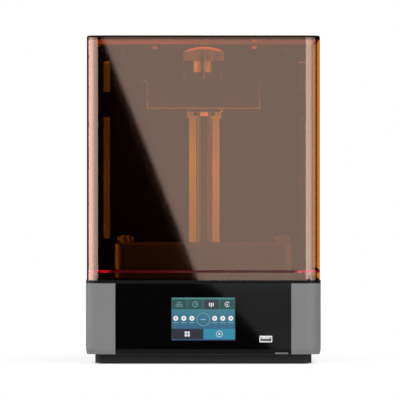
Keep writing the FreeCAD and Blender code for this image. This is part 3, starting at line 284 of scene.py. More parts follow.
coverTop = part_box("cover_top")[1].z
coverLook = dict(tint=(0.80, 0.58, 0.33, 1), shadedLeftTint=(0.22, 0.04, 0.03, 1), litRightTint=(0.76, 0.44, 0.08, 1),
                 topTint=(0.62, 0.37, 0.19, 1), topDeep=(0.52, 0.18, 0.14, 1), glue=(0.01, 0.004, 0.004, 1),
                 topLine=2.3 * mm, lineShade=0.95, bond=4.9 * mm, bondShade=0.4, gloss=(1.0, 0.68, 0.53, 1),
                 body=tone(150, 62, 14), bodySecond=tone(120, 46, 8), bodyShare=0.001, roughness=0.03,
                 front=0.1, rim=0.45, rimPower=5.0, facingBlend=0.5, shadedLeftRim=(0.5, 0.68),
                 leftDeep=(0.4, 0.72), rightDeep=(0.35, 1.0), halfBlend=60 * mm, wallTilt=(0.85, 0.99),
                 smearScale=30.0, smearDetail=4.0, smearStretch=(1, 1, 0.4), smearRoughness=0.02)


def amberCover(name, tint, deep):
    look = coverLook
    material, wire = startMaterial(name)
    spot = objectPlace(wire)
    x, y, z = spot.axes()
    facing = wire.make("ShaderNodeLayerWeight", {}, {"Blend": look["facingBlend"]}, output="Facing")
    inside = wire.make("ShaderNodeNewGeometry", output="Backfacing")
    outer = abs(surfaceNormal(wire).axes()[2]).ramp(*look["wallTilt"], 1.0, 0.0) * (1 - inside)
    bondFoot, lineFoot = coverTop - look["bond"], coverTop - look["topLine"]
    bond = outer * z.ramp(bondFoot - softEdge, bondFoot)  # the glued joint behind the top edge
    line = outer * z.ramp(lineFoot - softEdge, lineFoot)
    # the tint deepens towards the rims, where the wall is seen thicker; by side it is painted shade and
    # light: dark red on the left, bright orange on the right
    left = x.ramp(-look["halfBlend"], look["halfBlend"], 1.0, 0.0)
    thick = facing.ramp(*look["leftDeep"]) * left + facing.ramp(*look["rightDeep"]) * (1 - left)
    shine = wire.math("POWER", facing, look["rimPower"]) * (look["rim"] - look["front"]) + look["front"]
    shine = shine * (1 - left * facing.ramp(*look["shadedLeftRim"]))  # painted shade: no gloss at the very left rim, so only its dark tint shows
    shine = shine * (1 - inside) * (1 - line * look["lineShade"]) * (1 - bond * look["bondShade"])
    thin, leftEdge, rightEdge, glue = [seeThrough(wire, colour) for colour in (tint, *deep, look["glue"])]
    clear = mixShader(wire, thick, thin, mixShader(wire, left, rightEdge, leftEdge))
    clear = mixShader(wire, bond, clear, glue)
    smear = noise(wire, spot, look["smearScale"], look["smearDetail"], look["smearStretch"])
    body = principled(wire, {
        "Base Color": mixColour(wire, smear, look["body"], look["bodySecond"]),
        "Roughness": smear * look["smearRoughness"] + look["roughness"], "Specular IOR Level": 0.0})
    filled = mixShader(wire, look["bodyShare"], clear, body)
    gloss = wire.make("ShaderNodeBsdfGlossy", {}, {"Color": look["gloss"], "Roughness": look["roughness"]})
    return endMaterial(material, wire, mixShader(wire, shine, filled, gloss))


made["coverAmber"] = amberCover("coverAmber", coverLook["tint"],
                                (coverLook["shadedLeftTint"], coverLook["litRightTint"]))
made["coverTopAmber"] = amberCover("coverTopAmber", coverLook["topTint"],
                                   (coverLook["topDeep"], coverLook["topDeep"]))

# the stripe is lacquered only round the front corners, and there it has a painted red highlight: a glow in
# dashes
stripeLook = dict(red=tone(84, 6, 10), deep=tone(66, 3, 7), clear=(0.5, 0.03, 0.03, 1), bodyShare=0.55,
                  grainScale=400.0, roughness=0.08, spread=0.05, shine=0.5, coatRoughness=0.05, coatIor=1.8,
                  glow=tone(255, 20, 34), paintedGlowPower=0.75, corner=(108 * mm, 115 * mm),
                  front=(-136 * mm, -125 * mm), dashScale=260.0, dashDetail=1.0, dashEdge=(0.35, 0.55),
                  dashLeast=0.25)


def stripeRed():
    look = stripeLook
    material, wire = startMaterial("stripeRed")
    spot = objectPlace(wire)
    x, y, z = spot.axes()
    grain = noise(wire, spot, look["grainScale"])
    dashes = noise(wire, spot, look["dashScale"], look["dashDetail"])
    dashes = dashes.ramp(*look["dashEdge"], look["dashLeast"], 1.0)
    corner = abs(x).ramp(*look["corner"])
    # painted highlight: the red glow, in dashes, on the front corners
    lit = corner * y.ramp(*look["front"], 1.0, 0.0) * dashes
    body = principled(wire, {
        "Base Color": mixColour(wire, grain, look["red"], look["deep"]),
        "Roughness": grain * look["spread"] + look["roughness"], "Specular IOR Level": look["shine"],
        "Coat Weight": corner, "Coat Roughness": look["coatRoughness"], "Coat IOR": look["coatIor"],
        "Emission Color": mixColour(wire, lit, pureBlack, look["glow"]),
        "Emission Strength": look["paintedGlowPower"]})
    clear = seeThrough(wire, look["clear"])
    return endMaterial(material, wire, mixShader(wire, look["bodyShare"], clear, body))


made["stripeRed"] = stripeRed()

filmLook = dict(clear=(0.94, 0.95, 0.96, 1), pale=tone(200, 205, 212), second=tone(180, 186, 194),
                grainScale=60.0, roughness=0.05, spread=0.1, bodyShare=0.18)


def filmClear():
    look = filmLook
    material, wire = startMaterial("filmClear")
    grain = noise(wire, objectPlace(wire), look["grainScale"])
    body = principled(wire, {"Base Color": mixColour(wire, grain, look["pale"], look["second"]),
                             "Roughness": grain * look["spread"] + look["roughness"]})
    clear = seeThrough(wire, look["clear"])
    return endMaterial(material, wire, mixShader(wire, look["bodyShare"], clear, body))


made["filmClear"] = filmClear()

glowLook = dict(back=(0.01, 0.01, 0.012, 1), grainScale=120.0, secondShare=0.9, roughness=0.2, shine=0.25)


def glow(name, colour, power=1.0, back=glowLook["back"]):
    material, wire = startMaterial(name)
    shade = noise(wire, objectPlace(wire), glowLook["grainScale"])
    shader = principled(wire, {
        "Base Color": back, "Roughness": glowLook["roughness"], "Specular IOR Level": glowLook["shine"],
        "Emission Color": mixColour(wire, shade, colour, dimmed(colour, glowLook["secondShare"])),
        "Emission Strength": power})
    return endMaterial(material, wire, shader)


# the lit glass: its wash from bottom to top, its dark rim, and the depth at which the light ends
screenLook = dict(top=tone(72, 140, 132), middle=tone(54, 112, 134), bottom=tone(50, 78, 124),
                  middleHeight=0.55, edge=tone(20, 34, 44), rim=(0.97, 0.995), litDepth=(0.2 * mm, 0.6 * mm),
                  glass=(0.01, 0.012, 0.015, 1), roughness=0.12, shine=0.25, power=1.0)


def screenGlow():
    look = screenLook
    low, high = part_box("touch_screen")
    material, wire = startMaterial("screenGlow")
    x, y, z = objectPlace(wire).axes()
    height = (z - low.z) / (high.z - low.z)
    stops = [(0.0, look["bottom"]), (look["middleHeight"], look["middle"]), (1.0, look["top"])]
    wash = wire.make("ShaderNodeValToRGB", {"stops": stops}, {"Fac": height})
    outward = wire.math("MAXIMUM", abs(x / (high.x - low.x) * 2), abs(height * 2 - 1))
    lit = mixColour(wire, outward.ramp(*look["rim"]), wash, look["edge"])
    behind = y.ramp(*[low.y + depth for depth in look["litDepth"]])
    shader = principled(wire, {
        "Base Color": look["glass"], "Roughness": look["roughness"], "Specular IOR Level": look["shine"],
        "Emission Color": mixColour(wire, behind, lit, pureBlack), "Emission Strength": look["power"]})
    return endMaterial(material, wire, shader)


made["screenGlow"] = screenGlow()
made["lightPale"] = glow("lightPale", tone(170, 172, 174), 0.06, tone(86, 86, 87))
pictureTones = dict(uiTeal=tone(36, 80, 78), uiSlate=tone(48, 58, 66), uiNavy=tone(36, 38, 50),
                    uiBlue=tone(42, 136, 166), uiWhite=tone(236, 238, 238), uiPale=tone(130, 176, 186))
for toneName, pictureTone in pictureTones.items():
    made[toneName] = glow(toneName, pictureTone)

knobLook = dict(hubHeight=14 * mm, grip=tone(104, 97, 92), domeHighlight=tone(166, 156, 147), hub=tone(130, 126, 119),
                highlightTilt=(0.25, 0.4), metallic=0.8, hubMetallic=1.0, roughness=0.2, spread=0.08,
                grainScale=900.0, grainDetail=4.0, bump=0.1, grainDepth=0.05 * mm)


def knobFinish():
    look = knobLook
    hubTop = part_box("clamp_knob")[0].z + look["hubHeight"]
    material, wire = startMaterial("knobTwoTone")
    spot = objectPlace(wire)
    hub = spot.axes()[2].ramp(hubTop - softEdge, hubTop, 1.0, 0.0)
    # painted highlight: the dome, where it faces up, takes a lighter tone than the grip
    domeHighlight = surfaceNormal(wire).axes()[2].ramp(*look["highlightTilt"])
    grain = noise(wire, spot, look["grainScale"], look["grainDetail"])
    colour = mixColour(wire, hub, mixColour(wire, domeHighlight, look["grip"], look["domeHighlight"]), look["hub"])
    shader = principled(wire, {
        "Base Color": colour, "Metallic": hub * (look["hubMetallic"] - look["metallic"]) + look["metallic"],
        "Roughness": grain * look["spread"] + look["roughness"],
        "Normal": bumped(wire, grain, look["bump"], look["grainDepth"])})
    return endMaterial(material, wire, shader)


made["knobTwoTone"] = knobFinish()

nodeFinish = {
    "trayBlack": ["base_tray"],
    "footRubber": ["rubber_feet"],
    "housingGrey": ["housing_shell"],
    "panelGloss": ["front_panel"],
    "deckBlack": ["top_deck"],
    "stageBlack": ["lcd_stage"],
    "screenGlow": ["touch_screen"],
    "lcdGlass": ["lcd_glass"],
    "moduleGrey": ["display_module"],
    "socketSteel": ["usb_shell"],
    "socketWhite": ["usb_tongue"],
    "lightPale": ["status_light"],
    "boxSteel": ["light_box", "motor_posts", "board_posts"],
    "boardGreen": ["led_board", "mainboard"],
    "ledLens": ["uv_leds"],
    "sinkAluminium": ["led_heat_sink"],
    "fanBlack": ["fan_grille", "fan_frame", "fan_rotor", "power_inlet", "rocker_frame", "power_rocker",
                 "limit_sensor"],
    "columnAluminium": ["z_column"],
    "bearingAluminium": ["top_bearing_block"],
    "armAluminium": ["carriage_plate", "platform_arm"],
    "railSteel": ["left_rail", "right_rail", "motor_shaft", "clamp_stud", "sensor_flag"],
    "blockSteel": ["left_rail_block", "right_rail_block"],
    "screwSteel": ["lead_screw"],
    "bushBrass": ["lower_bush", "upper_bush", "lead_nut"],
    "motorBlack": ["z_motor"],
    "couplerAluminium": ["shaft_coupler"],
    "shieldBlack": ["back_shield"],
    "boltBlack": ["carriage_bolts", "level_screws"],
    "platformBlack": ["platform_body"],
    "plateBlasted": ["build_plate"],
    "knobTwoTone": ["clamp_knob"],
    "thumbSteel": ["vat_screw_left", "vat_screw_right"],
    "vatBlack": ["vat_frame", "film_ring"],
    "filmClear": ["release_film"],
    "coverAmber": ["cover_shell"],
    "coverTopAmber": ["cover_top"],
    "stripeRed": ["cover_stripe"],
}
for finishName, members in nodeFinish.items():
    for member in members:
        slots = nodes[member].data.materials
        slots.clear()
        slots.append(made[finishName])
print("finishes on", sum(len(members) for members in nodeFinish.values()), "nodes")


def newObject(name, mesh):
    piece = bpy.data.objects.new(name, mesh)
    scene.collection.objects.link(piece)
    return piece


def meshFrom(shape, name, material=None):
    mesh = bpy.data.meshes.new(name)
    shape.to_mesh(mesh)
    shape.free()
    if material:
        mesh.materials.append(made[material])
    return newObject(name, mesh)


def place(piece, body):
    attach(piece, body)
    return piece


def drop(*pieces):
    for piece in pieces:
        bpy.data.objects.remove(piece)


def newTree(name, sockets):
    tree = bpy.data.node_groups.new(name, "GeometryNodeTree")
    for label, kind in sockets.items():
        tree.interface.new_socket(label, in_out="INPUT", socket_type="NodeSocket" + kind)
    tree.interface.new_socket("Mesh", in_out="OUTPUT", socket_type="NodeSocketGeometry")
    wire = Wire(tree)
    return tree, wire, wire.make("NodeGroupInput").outputs()


def endTree(wire, shape, material):
    solid = wire.make("GeometryNodeRealizeInstances", {}, {"Geometry": shape})
    dressed = wire.make("GeometryNodeSetMaterial", {}, {"Geometry": solid, "Material": material})
    wire.make("NodeGroupOutput", {}, {"Mesh": dressed})


def grow(name, tree, values):  # run a tree and keep its result as a plain mesh
    seed = newObject(name + "Seed", bpy.data.meshes.new(name + "Seed"))
    modifier = seed.modifiers.new("grow", "NODES")
    modifier.node_group = tree
    for item in tree.interface.items_tree:
        if item.in_out == "INPUT":
            modifier[item.identifier] = values[item.name]
    graph = bpy.context.evaluated_depsgraph_get()
    mesh = bpy.data.meshes.new_from_object(seed.evaluated_get(graph))
    mesh.name = name
    while mesh.materials[0] is None:  # Set Material leaves an empty slot in front of its own
        mesh.materials.pop(index=0)
    bpy.data.objects.remove(seed)
    return newObject(name, mesh)


def makeRowTree():
    tree, wire, given = newTree("row", {"Part": "Object", "Count": "Int", "Start": "Vector", "Step": "Vector",
                                        "Turn": "Rotation", "Finish": "Material"})
    points = wire.make("GeometryNodeMeshLine", {"mode": "OFFSET"}, {
        "Count": given["Count"], "Start Location": given["Start"], "Offset": given["Step"]})
    part = wire.make("GeometryNodeObjectInfo", {}, {"Object": given["Part"]}, output="Geometry")
    copies = wire.make("GeometryNodeInstanceOnPoints", {}, {"Points": points, "Instance": part,
                                                            "Rotation": given["Turn"]})
    endTree(wire, copies, given["Finish"])
    return tree


def makeGridTree():
    tree, wire, given = newTree("grid", {"Part": "Object", "Across": "Int", "Along": "Int", "Width": "Float",
                                         "Depth": "Float", "Centre": "Vector", "Turn": "Rotation",
                                         "Finish": "Material"})
    points = wire.make("GeometryNodeMeshGrid", {}, {
        "Size X": given["Width"], "Size Y": given["Depth"], "Vertices X": given["Across"],
        "Vertices Y": given["Along"]})
    part = wire.make("GeometryNodeObjectInfo", {}, {"Object": given["Part"]}, output="Geometry")
    copies = wire.make("GeometryNodeInstanceOnPoints", {}, {"Points": points, "Instance": part})
    moved = wire.make("GeometryNodeTransform", {}, {"Geometry": copies, "Translation": given["Centre"],
                                                    "Rotation": given["Turn"]})
    endTree(wire, moved, given["Finish"])
    return tree


rowTree = makeRowTree()
gridTree = makeGridTree()
unturned = (0, 0, 0)
faceFront = (math.pi / 2, 0, 0)
faceBack = (-math.pi / 2, 0, 0)
faceDown = (math.pi, 0, 0)


def row(name, part, count, start, step, material, turn=unturned):
    return grow(name, rowTree, {"Part": part, "Count": count, "Start": start, "Step": step, "Turn": turn,
                                "Finish": made[material]})


def grid(name, part, counts, spread, centre, material, turn=unturned):
    return grow(name, gridTree, {"Part": part, "Across": counts[0], "Along": counts[1], "Width": spread[0],
                                 "Depth": spread[1], "Centre": centre, "Turn": turn,
                                 "Finish": made[material]})


def around(points):  # each point with the one after it, back to the first
    return list(zip(points, points[1:] + points[:1]))


headLook = dict(shoulder=0.8, crown=0.88)  # shares of a head's height and radius


def screwHead(name, look):  # a round head with a six-sided socket, standing on z 0
    shape = bmesh.new()
    sides = look["sides"]
    radius, height, socket, depth = (look[key] for key in ("radius", "height", "socket", "depth"))
    angles = [2 * math.pi * index / sides for index in range(sides)]

    def ring(reaches, z):
        return [shape.verts.new((reach * math.cos(a), reach * math.sin(a), z))
                for reach, a in zip(reaches, angles)]

    wedges = [(a + math.pi / 6) % (math.pi / 3) - math.pi / 6 for a in angles]
    sixSided = [socket / math.cos(wedge) for wedge in wedges]
    full, narrowed = [radius] * sides, [radius * headLook["crown"]] * sides
    rings = [ring(full, 0), ring(full, height * headLook["shoulder"]), ring(narrowed, height),
             ring(sixSided, height), ring(sixSided, height - depth)]
    for lower, upper in zip(rings, rings[1:]):
        for (a, b), (c, d) in zip(around(lower), around(upper)):
            shape.faces.new((a, b, d, c))
    shape.faces.new(rings[-1])
    shape.faces.new(list(reversed(rings[0])))
    return meshFrom(shape, name)


def sideFaces(shape, near, far):  # the wall between two equal outlines
    for (a, b), (c, d) in zip(around(near), around(far)):
        shape.faces.new((a, c, d, b))


def prism(name, outline, width, material=None):  # an outline of (y, z) drawn out along x
    shape = bmesh.new()
    ends = [[shape.verts.new((x, y, z)) for y, z in outline] for x in (-width / 2, width / 2)]
    for end in ends:
        shape.faces.new(end)
    sideFaces(shape, *ends)
    bmesh.ops.recalc_face_normals(shape, faces=shape.faces)
    return meshFrom(shape, name, material)


# the lead screw's thread: share of a pitch where the crest ends and where the root begins
leadLook = dict(pitch=2 * mm, lead=8 * mm, depth=0.55 * mm, ringsPerPitch=7, sides=28, crest=(0.12, 0.38),
                phaseLift=100.0)  # keeps the phase above 0 for its fraction


def makeThreadTree():
    tree, wire, given = newTree("thread", {"Radius": "Float", "Length": "Float", "Pitch": "Float",
                                           "Lead": "Float", "Depth": "Float", "Sides": "Int", "Rings": "Int",
                                           "Centre": "Vector", "Finish": "Material"})
    rod = wire.make("GeometryNodeMeshCylinder", {}, {
        "Vertices": given["Sides"], "Side Segments": given["Rings"], "Radius": given["Radius"],
        "Depth": given["Length"]})
    x, y, z = wire.make("GeometryNodeInputPosition").axes()
    turn = wire.math("ARCTAN2", y, x) / (2 * math.pi)
    phase = wire.math("FRACT", (z - turn * given["Lead"]) / given["Pitch"] + leadLook["phaseLift"])
    crest = abs(phase - 0.5).ramp(*leadLook["crest"], 1.0, 0.0)
    shrink = (crest - 1) * given["Depth"] / given["Radius"] + 1
    spot = wire.make("ShaderNodeCombineXYZ", {}, {0: x * shrink, 1: y * shrink, 2: z})
    cut = wire.make("GeometryNodeSetPosition", {}, {"Geometry": rod, "Position": spot})
    moved = wire.make("GeometryNodeTransform", {}, {"Geometry": cut, "Translation": given["Centre"]})
    endTree(wire, moved, given["Finish"])
    return tree


def leadScrew():
    low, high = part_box("lead_screw")
    length = high.z - low.z
    rod = grow("lead_screw_thread", makeThreadTree(), {
        "Radius": (high.x - low.x) / 2, "Length": length, "Pitch": leadLook["pitch"],
        "Lead": leadLook["lead"], "Depth": leadLook["depth"], "Sides": leadLook["sides"],
        "Rings": round(length / leadLook["pitch"] * leadLook["ringsPerPitch"]), "Centre": (low + high) / 2,
        "Finish": made["screwSteel"]})
    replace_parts(place(rod, "screw"), "lead_screw")


leadScrew()
print("lead screw threaded")

plugLook = dict(radius=2.6 * mm, height=0.1 * mm, socket=1.2 * mm, depth=0.06 * mm, sides=24, count=9,
                edge=14 * mm)


def railPlugs():
    plug = screwHead("plugPart", plugLook)
    for side in ("left", "right"):
        low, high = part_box(side + "_rail")
        step = (high.z - low.z - 2 * plugLook["edge"]) / (plugLook["count"] - 1)
        start = ((low.x + high.x) / 2, low.y, low.z + plugLook["edge"])
        plugs = row(side + "_rail_plugs", plug, plugLook["count"], start, (0, 0, step), "railSteel",
                    faceFront)
        place(plugs, "base")
    drop(plug)


shieldSheet = 2 * mm  # the shield's wall at its back, above the foot flange
smallScrew = dict(radius=2.7 * mm, height=1.6 * mm, socket=1.25 * mm, depth=1.0 * mm, sides=24)
flatScrew = dict(radius=2.4 * mm, height=0.5 * mm, socket=1.0 * mm, depth=0.35 * mm, sides=24)
capScrew = dict(radius=3.6 * mm, height=3.2 * mm, socket=1.7 * mm, depth=1.8 * mm, sides=24)
# each group of heads: how many, how far apart the outer ones are, and where its middle lies
deckScrews = dict(counts=(2, 2), spread=(226 * mm, 216 * mm), y=-5 * mm)
bearingScrews = dict(counts=(2, 2), spread=(28 * mm, 12 * mm), pastMiddle=1 * mm)
armScrews = dict(counts=(2, 2), spread=(30 * mm, 18 * mm), fromBack=16 * mm)
grilleScrews = dict(counts=(2, 2), spread=(50 * mm, 50 * mm), sunk=0.2 * mm)
trayScrews = dict(counts=(2, 3), spread=(170 * mm, 200 * mm))
shieldRivets = dict(counts=(5, 2), spread=(200 * mm, 240 * mm), rise=150 * mm)
shieldScrews = dict(count=2, across=101 * mm, fromTop=6 * mm)


def machineScrews():
    small = screwHead("smallPart", smallScrew)
    flat = screwHead("flatPart", flatScrew)
    cap = screwHead("capPart", capScrew)

    def heads(name, part, look, centre, body="base", turn=unturned):
        place(grid(name, part, look["counts"], look["spread"], centre, "boltBlack", turn), body)

    heads("deck_screws", flat, deckScrews, (0, deckScrews["y"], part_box("cover_shell")[0].z))
    low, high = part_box("top_bearing_block")
    heads("bearing_screws", small, bearingScrews,
          (0, (low.y + high.y) / 2 + bearingScrews["pastMiddle"], high.z))
    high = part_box("platform_arm")[1]
    heads("arm_screws", cap, armScrews, (0, high.y - armScrews["fromBack"], high.z), "carriage")
    low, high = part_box("fan_grille")
    middle = (low + high) / 2
    heads("grille_screws", flat, grilleScrews, (middle.x, high.y - grilleScrews["sunk"], middle.z),
          turn=faceBack)
    heads("tray_screws", flat, trayScrews, (0, 0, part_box("base_tray")[0].z), turn=faceDown)
    low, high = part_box("back_shield")
    heads("shield_rivets", flat, shieldRivets, (0, high.y, low.z + shieldRivets["rise"]), turn=faceBack)
    start = (-shieldScrews["across"], high.y - shieldSheet, high.z - shieldScrews["fromTop"])
    place(row("shield_screws", flat, shieldScrews["count"], start, (2 * shieldScrews["across"], 0, 0),
              "thumbSteel", faceFront), "base")
    drop(small, flat, cap)


railPlugs()
machineScrews()
print("plugs, screws and rivets placed")

louvreLook = dict(pitch=1.25 * mm, left=1.05 * mm, right=1.2 * mm, depth=0.9 * mm, lip=0.3 * mm,
                  width=7.4 * mm, across=120.75 * mm, lower=(48.4 * mm, 197.4 * mm),
                  upper=(229.4 * mm, 266.4 * mm))


def louvres():  # leaning blades with a lip at the front and the back, nearly shut on the right
    low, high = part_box("back_shield")
    deep, lip, pitch = louvreLook["depth"] / 2, louvreLook["lip"], louvreLook["pitch"]
    for side, sign in (("left", -1), ("right", 1)):
        tall = louvreLook[side] / 2
        slat = prism("slatPart", [(-deep, -tall), (lip - deep, -tall), (deep, tall - lip), (deep, tall),
                                  (deep - lip, tall), (-deep, lip - tall)], louvreLook["width"])
        for level in ("lower", "upper"):
            bottom, top = louvreLook[level]
            start = (sign * louvreLook["across"], high.y - shieldSheet / 2, low.z + bottom + pitch / 2)
            slats = row(f"vent_{level}_{side}", slat, int((top - bottom) / pitch), start, (0, 0, pitch),
                        "shieldBlack")
            place(slats, "base")
        drop(slat)


sealLook = dict(thickness=4 * mm, inset=6 * mm, rise=2.2 * mm, steps=10, fullness=0.5)


def lightSeal():  # half-round foam strip on the shield's upper edge
    low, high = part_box("back_shield")
    half, middle = sealLook["thickness"] / 2, high.y - shieldSheet / 2
    angles = [math.pi * index / sealLook["steps"] for index in range(sealLook["steps"] + 1)]
    rounded = [(middle + half * math.cos(a), high.z + sealLook["rise"] * math.sin(a) ** sealLook["fullness"])
               for a in angles]
    seal = prism("shield_seal", rounded, high.x - low.x - 2 * sealLook["inset"], "footRubber")
    place(seal, "base")


clipLook = dict(wall=0.5 * mm, leg=3.6 * mm, width=6 * mm, across=61.5 * mm, count=2)


def sealClips():  # spring clips over the edge, under the foam
    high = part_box("back_shield")[1]
    wall, leg, across = clipLook["wall"], clipLook["leg"], clipLook["across"]
    front, back = high.y - shieldSheet, high.y
    clip = prism("clipPart", [(front - wall, -leg), (front, -leg), (front, 0), (back, 0), (back, -leg),
                              (back + wall, -leg), (back + wall, wall), (front - wall, wall)],
                 clipLook["width"])
    clips = row("seal_clips", clip, clipLook["count"], (-across, 0, high.z), (2 * across, 0, 0), "bushBrass")
    place(clips, "base")
    drop(clip)


louvres()
lightSeal()
sealClips()
print("louvres and seal placed")

# the screen's picture: plain tiles, rings and bars, each a thin plate in front of the glass
screenShow = dict(tileLift=0.05 * mm, markLift=0.12 * mm, signLift=0.18 * mm, thick=0.04 * mm, tileCount=4,
                  tileDark=2, tileGap=0.5 * mm, tileTop=2.2 * mm, tileHigh=12.0 * mm, footHigh=12.4 * mm,
                  footRise=1.6 * mm, darkFootGap=0.4 * mm, blueFootGap=0.8 * mm, roundSteps=28)


def flatPiece(name, outlines, material, lift="markLift"):  # flat shapes, given as lists of (x, z)
    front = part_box("touch_screen")[0].y - screenShow[lift]
    shape = bmesh.new()
    for outline in outlines:
        near = [shape.verts.new((x, front, z)) for x, z in outline]
        far = [shape.verts.new((x, front + screenShow["thick"], z)) for x, z in outline]
        shape.faces.new(near)
        shape.faces.new(list(reversed(far)))
        sideFaces(shape, near, far)
    bmesh.ops.recalc_face_normals(shape, faces=shape.faces)
    return place(meshFrom(shape, name, material), "base")


def tile(x, z, width, height):
    return [(x - width / 2, z - height / 2), (x + width / 2, z - height / 2), (x + width / 2, z + height / 2),
            (x - width / 2, z + height / 2)]


def onCircle(x, z, radius, angle):
    return (x + radius * math.cos(angle), z + radius * math.sin(angle))


def disc(x, z, radius):
    count = screenShow["roundSteps"]
    return [onCircle(x, z, radius, math.radians(360.0 * index / count)) for index in range(count)]


def stroke(x, z, look):  # a ring or an open ring, cut into short plates
    start, end = look.get("open", (0.0, 360.0))
    count = look.get("steps", screenShow["roundSteps"])
    inner, outer = look["radius"] - look["width"] / 2, look["radius"] + look["width"] / 2
    step = (end - start) / count
    plates = []
    for index in range(count):
        a, b = math.radians(start + index * step), math.radians(start + (index + 1) * step)
        plates.append([onCircle(x, z, inner, a), onCircle(x, z, outer, a), onCircle(x, z, outer, b),
                       onCircle(x, z, inner, b)])
    return plates


buttonLook = dict(rise=26.4 * mm, radius=3.0 * mm, pitch=9.6 * mm, edge=5.4 * mm, perSide=3,
                  captionDrop=5.2 * mm, caption=(6.4 * mm, 0.7 * mm), sign=(2.2 * mm, 0.6 * mm),
                  stub=(0.6 * mm, 0.9 * mm), stubShift=0.75 * mm)
dialLook = dict(radius=7.6 * mm, width=0.5 * mm, steps=48, drop=1.4 * mm, bar=(6.5 * mm, 1.2 * mm))
layerLook = dict(count=3, step=2.2 * mm, longest=9 * mm, shorter=2 * mm, thick=0.6 * mm)
clockLook = dict(radius=3.2 * mm, width=0.55 * mm, shift=0.8 * mm, upHand=(0.6 * mm, 2.6 * mm),
                 sideHand=(2.2 * mm, 0.6 * mm))
barLook = dict(step=2.2 * mm, width=1.2 * mm, middle=(0.75 * mm, 5.4 * mm), side=(0.25 * mm, 4.0 * mm))
openRing = dict(radius=2.8 * mm, width=0.7 * mm, open=(30, 330), steps=22, dot=0.9 * mm)
squareLook = dict(shift=1.7 * mm, size=2.6 * mm)
playLook = dict(radius=3.6 * mm, width=0.5 * mm, back=1.0 * mm, tip=1.8 * mm, half=1.6 * mm)


def screenPicture():
    low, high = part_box("touch_screen")
    left, right, bottom, top = low.x, high.x, low.z, high.z
    width, middle = right - left, (left + right) / 2
    show, look = screenShow, buttonLook

    # tiles along the top, two plates along the foot
    quarter = width / show["tileCount"]
    columns = [left + quarter * (index + 0.5) for index in range(show["tileCount"])]
    tileZ = top - show["tileTop"] - show["tileHigh"] / 2
    tiles = [tile(x, tileZ, quarter - show["tileGap"], show["tileHigh"]) for x in columns]
    darkTile = tiles.pop(show["tileDark"])
    flatPiece("screen_tiles", tiles, "uiTeal", "tileLift")
    flatPiece("screen_tile_dark", [darkTile], "uiSlate", "tileLift")
    footZ = bottom + show["footRise"] + show["footHigh"] / 2
    homeX, playX = left + width / 4, right - width / 4
    darkFoot = tile(homeX, footZ, width / 2 - show["darkFootGap"], show["footHigh"])
    blueFoot = tile(playX, footZ, width / 2 - show["blueFootGap"], show["footHigh"])
    flatPiece("screen_foot_dark", [darkFoot], "uiNavy", "tileLift")
    flatPiece("screen_foot_blue", [blueFoot], "uiBlue", "tileLift")

    # round buttons with plain bars under them, and a dial between them
    midZ = bottom + look["rise"]
    steps = [look["edge"] + look["pitch"] * index for index in range(look["perSide"])]
    buttons = [left + step for step in steps] + [right - step for step in steps]
    flatPiece("screen_buttons", [disc(x, midZ, look["radius"]) for x in buttons], "uiWhite")
    dialZ = midZ - dialLook["drop"]
    captions = [tile(x, midZ - look["captionDrop"], *look["caption"]) for x in buttons]
    captions += stroke(middle, dialZ, dialLook) + [tile(middle, dialZ, *dialLook["bar"])]
    flatPiece("screen_captions", captions, "uiPale")

    # thin signs on the first two tiles
    lines = [tile(columns[0], tileZ + layerLook["step"] * (index - 1),
                  layerLook["longest"] - layerLook["shorter"] * index, layerLook["thick"])
             for index in range(layerLook["count"])]
    lines += stroke(columns[1], tileZ, clockLook)
    lines += [tile(columns[1], tileZ + clockLook["shift"], *clockLook["upHand"]),
              tile(columns[1] + clockLook["shift"], tileZ, *clockLook["sideHand"])]
    flatPiece("screen_lines", lines, "uiPale")

    # white signs on the other tiles and on the foot
    marks = []
    for index in (-1, 0, 1):
        lowered, tall = barLook["side" if index else "middle"]
        marks.append(tile(columns[2] + barLook["step"] * index, tileZ - lowered, barLook["width"], tall))
    marks += stroke(columns[3], tileZ, openRing) + [disc(columns[3], tileZ, openRing["dot"])]
    shift, size = squareLook["shift"], squareLook["size"]
    marks += [tile(homeX + x, footZ + z, size, size) for z in (shift, -shift) for x in (-shift, shift)]
    marks += stroke(playX, footZ, playLook)
    marks.append([(playX - playLook["back"], footZ - playLook["half"]), (playX + playLook["tip"], footZ),
                  (playX - playLook["back"], footZ + playLook["half"])])
    flatPiece("screen_marks", marks, "uiWhite")

    # a plus on each button
    signs = []
    for x in buttons:
        signs += [tile(x, midZ, *look["sign"]), tile(x, midZ + look["stubShift"], *look["stub"]),
                  tile(x, midZ - look["stubShift"], *look["stub"])]
    flatPiece("screen_button_signs", signs, "uiSlate", "signLift")


screenPicture()
print("screen picture drawn")

contactLook = dict(width=1.2 * mm, length=7.5 * mm, thick=0.1 * mm, nose=0.7 * mm, tip=0.025 * mm,
                   pitch=2.4 * mm, count=4, inset=1.05 * mm)


def usbContacts():  # flat springs with a bent nose, let into the tongue by half their thickness
    low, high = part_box("usb_tongue")
    look = contactLook
    nose, tail, thick = look["inset"], look["inset"] + look["length"], look["thick"]
    strip = prism("contactPart", [(nose, 0), (tail, 0), (tail, -thick), (nose + look["nose"], -thick),
                                  (nose, -look["tip"])], look["width"])
    start = ((low.x + high.x) / 2 - look["pitch"] * (look["count"] - 1) / 2, low.y, low.z + thick / 2)
    contacts = row("usb_contacts", strip, look["count"], start, (look["pitch"], 0, 0), "bushBrass")
    place(contacts, "base")
    drop(strip)


usbContacts()
print("contacts placed")

frontY = cadBox[0].y
studio = dict(cameraDistance=6.7, cameraSide=0.036, frameWidth=0.4758, aimX=-0.0039, aimZ=0.1952,
              sensor=36.0, farEnd=50.0, cardDistance=1.86, cardLow=0.075, cardHigh=0.45, mirroredSky=0.55,
              sky=0.4)


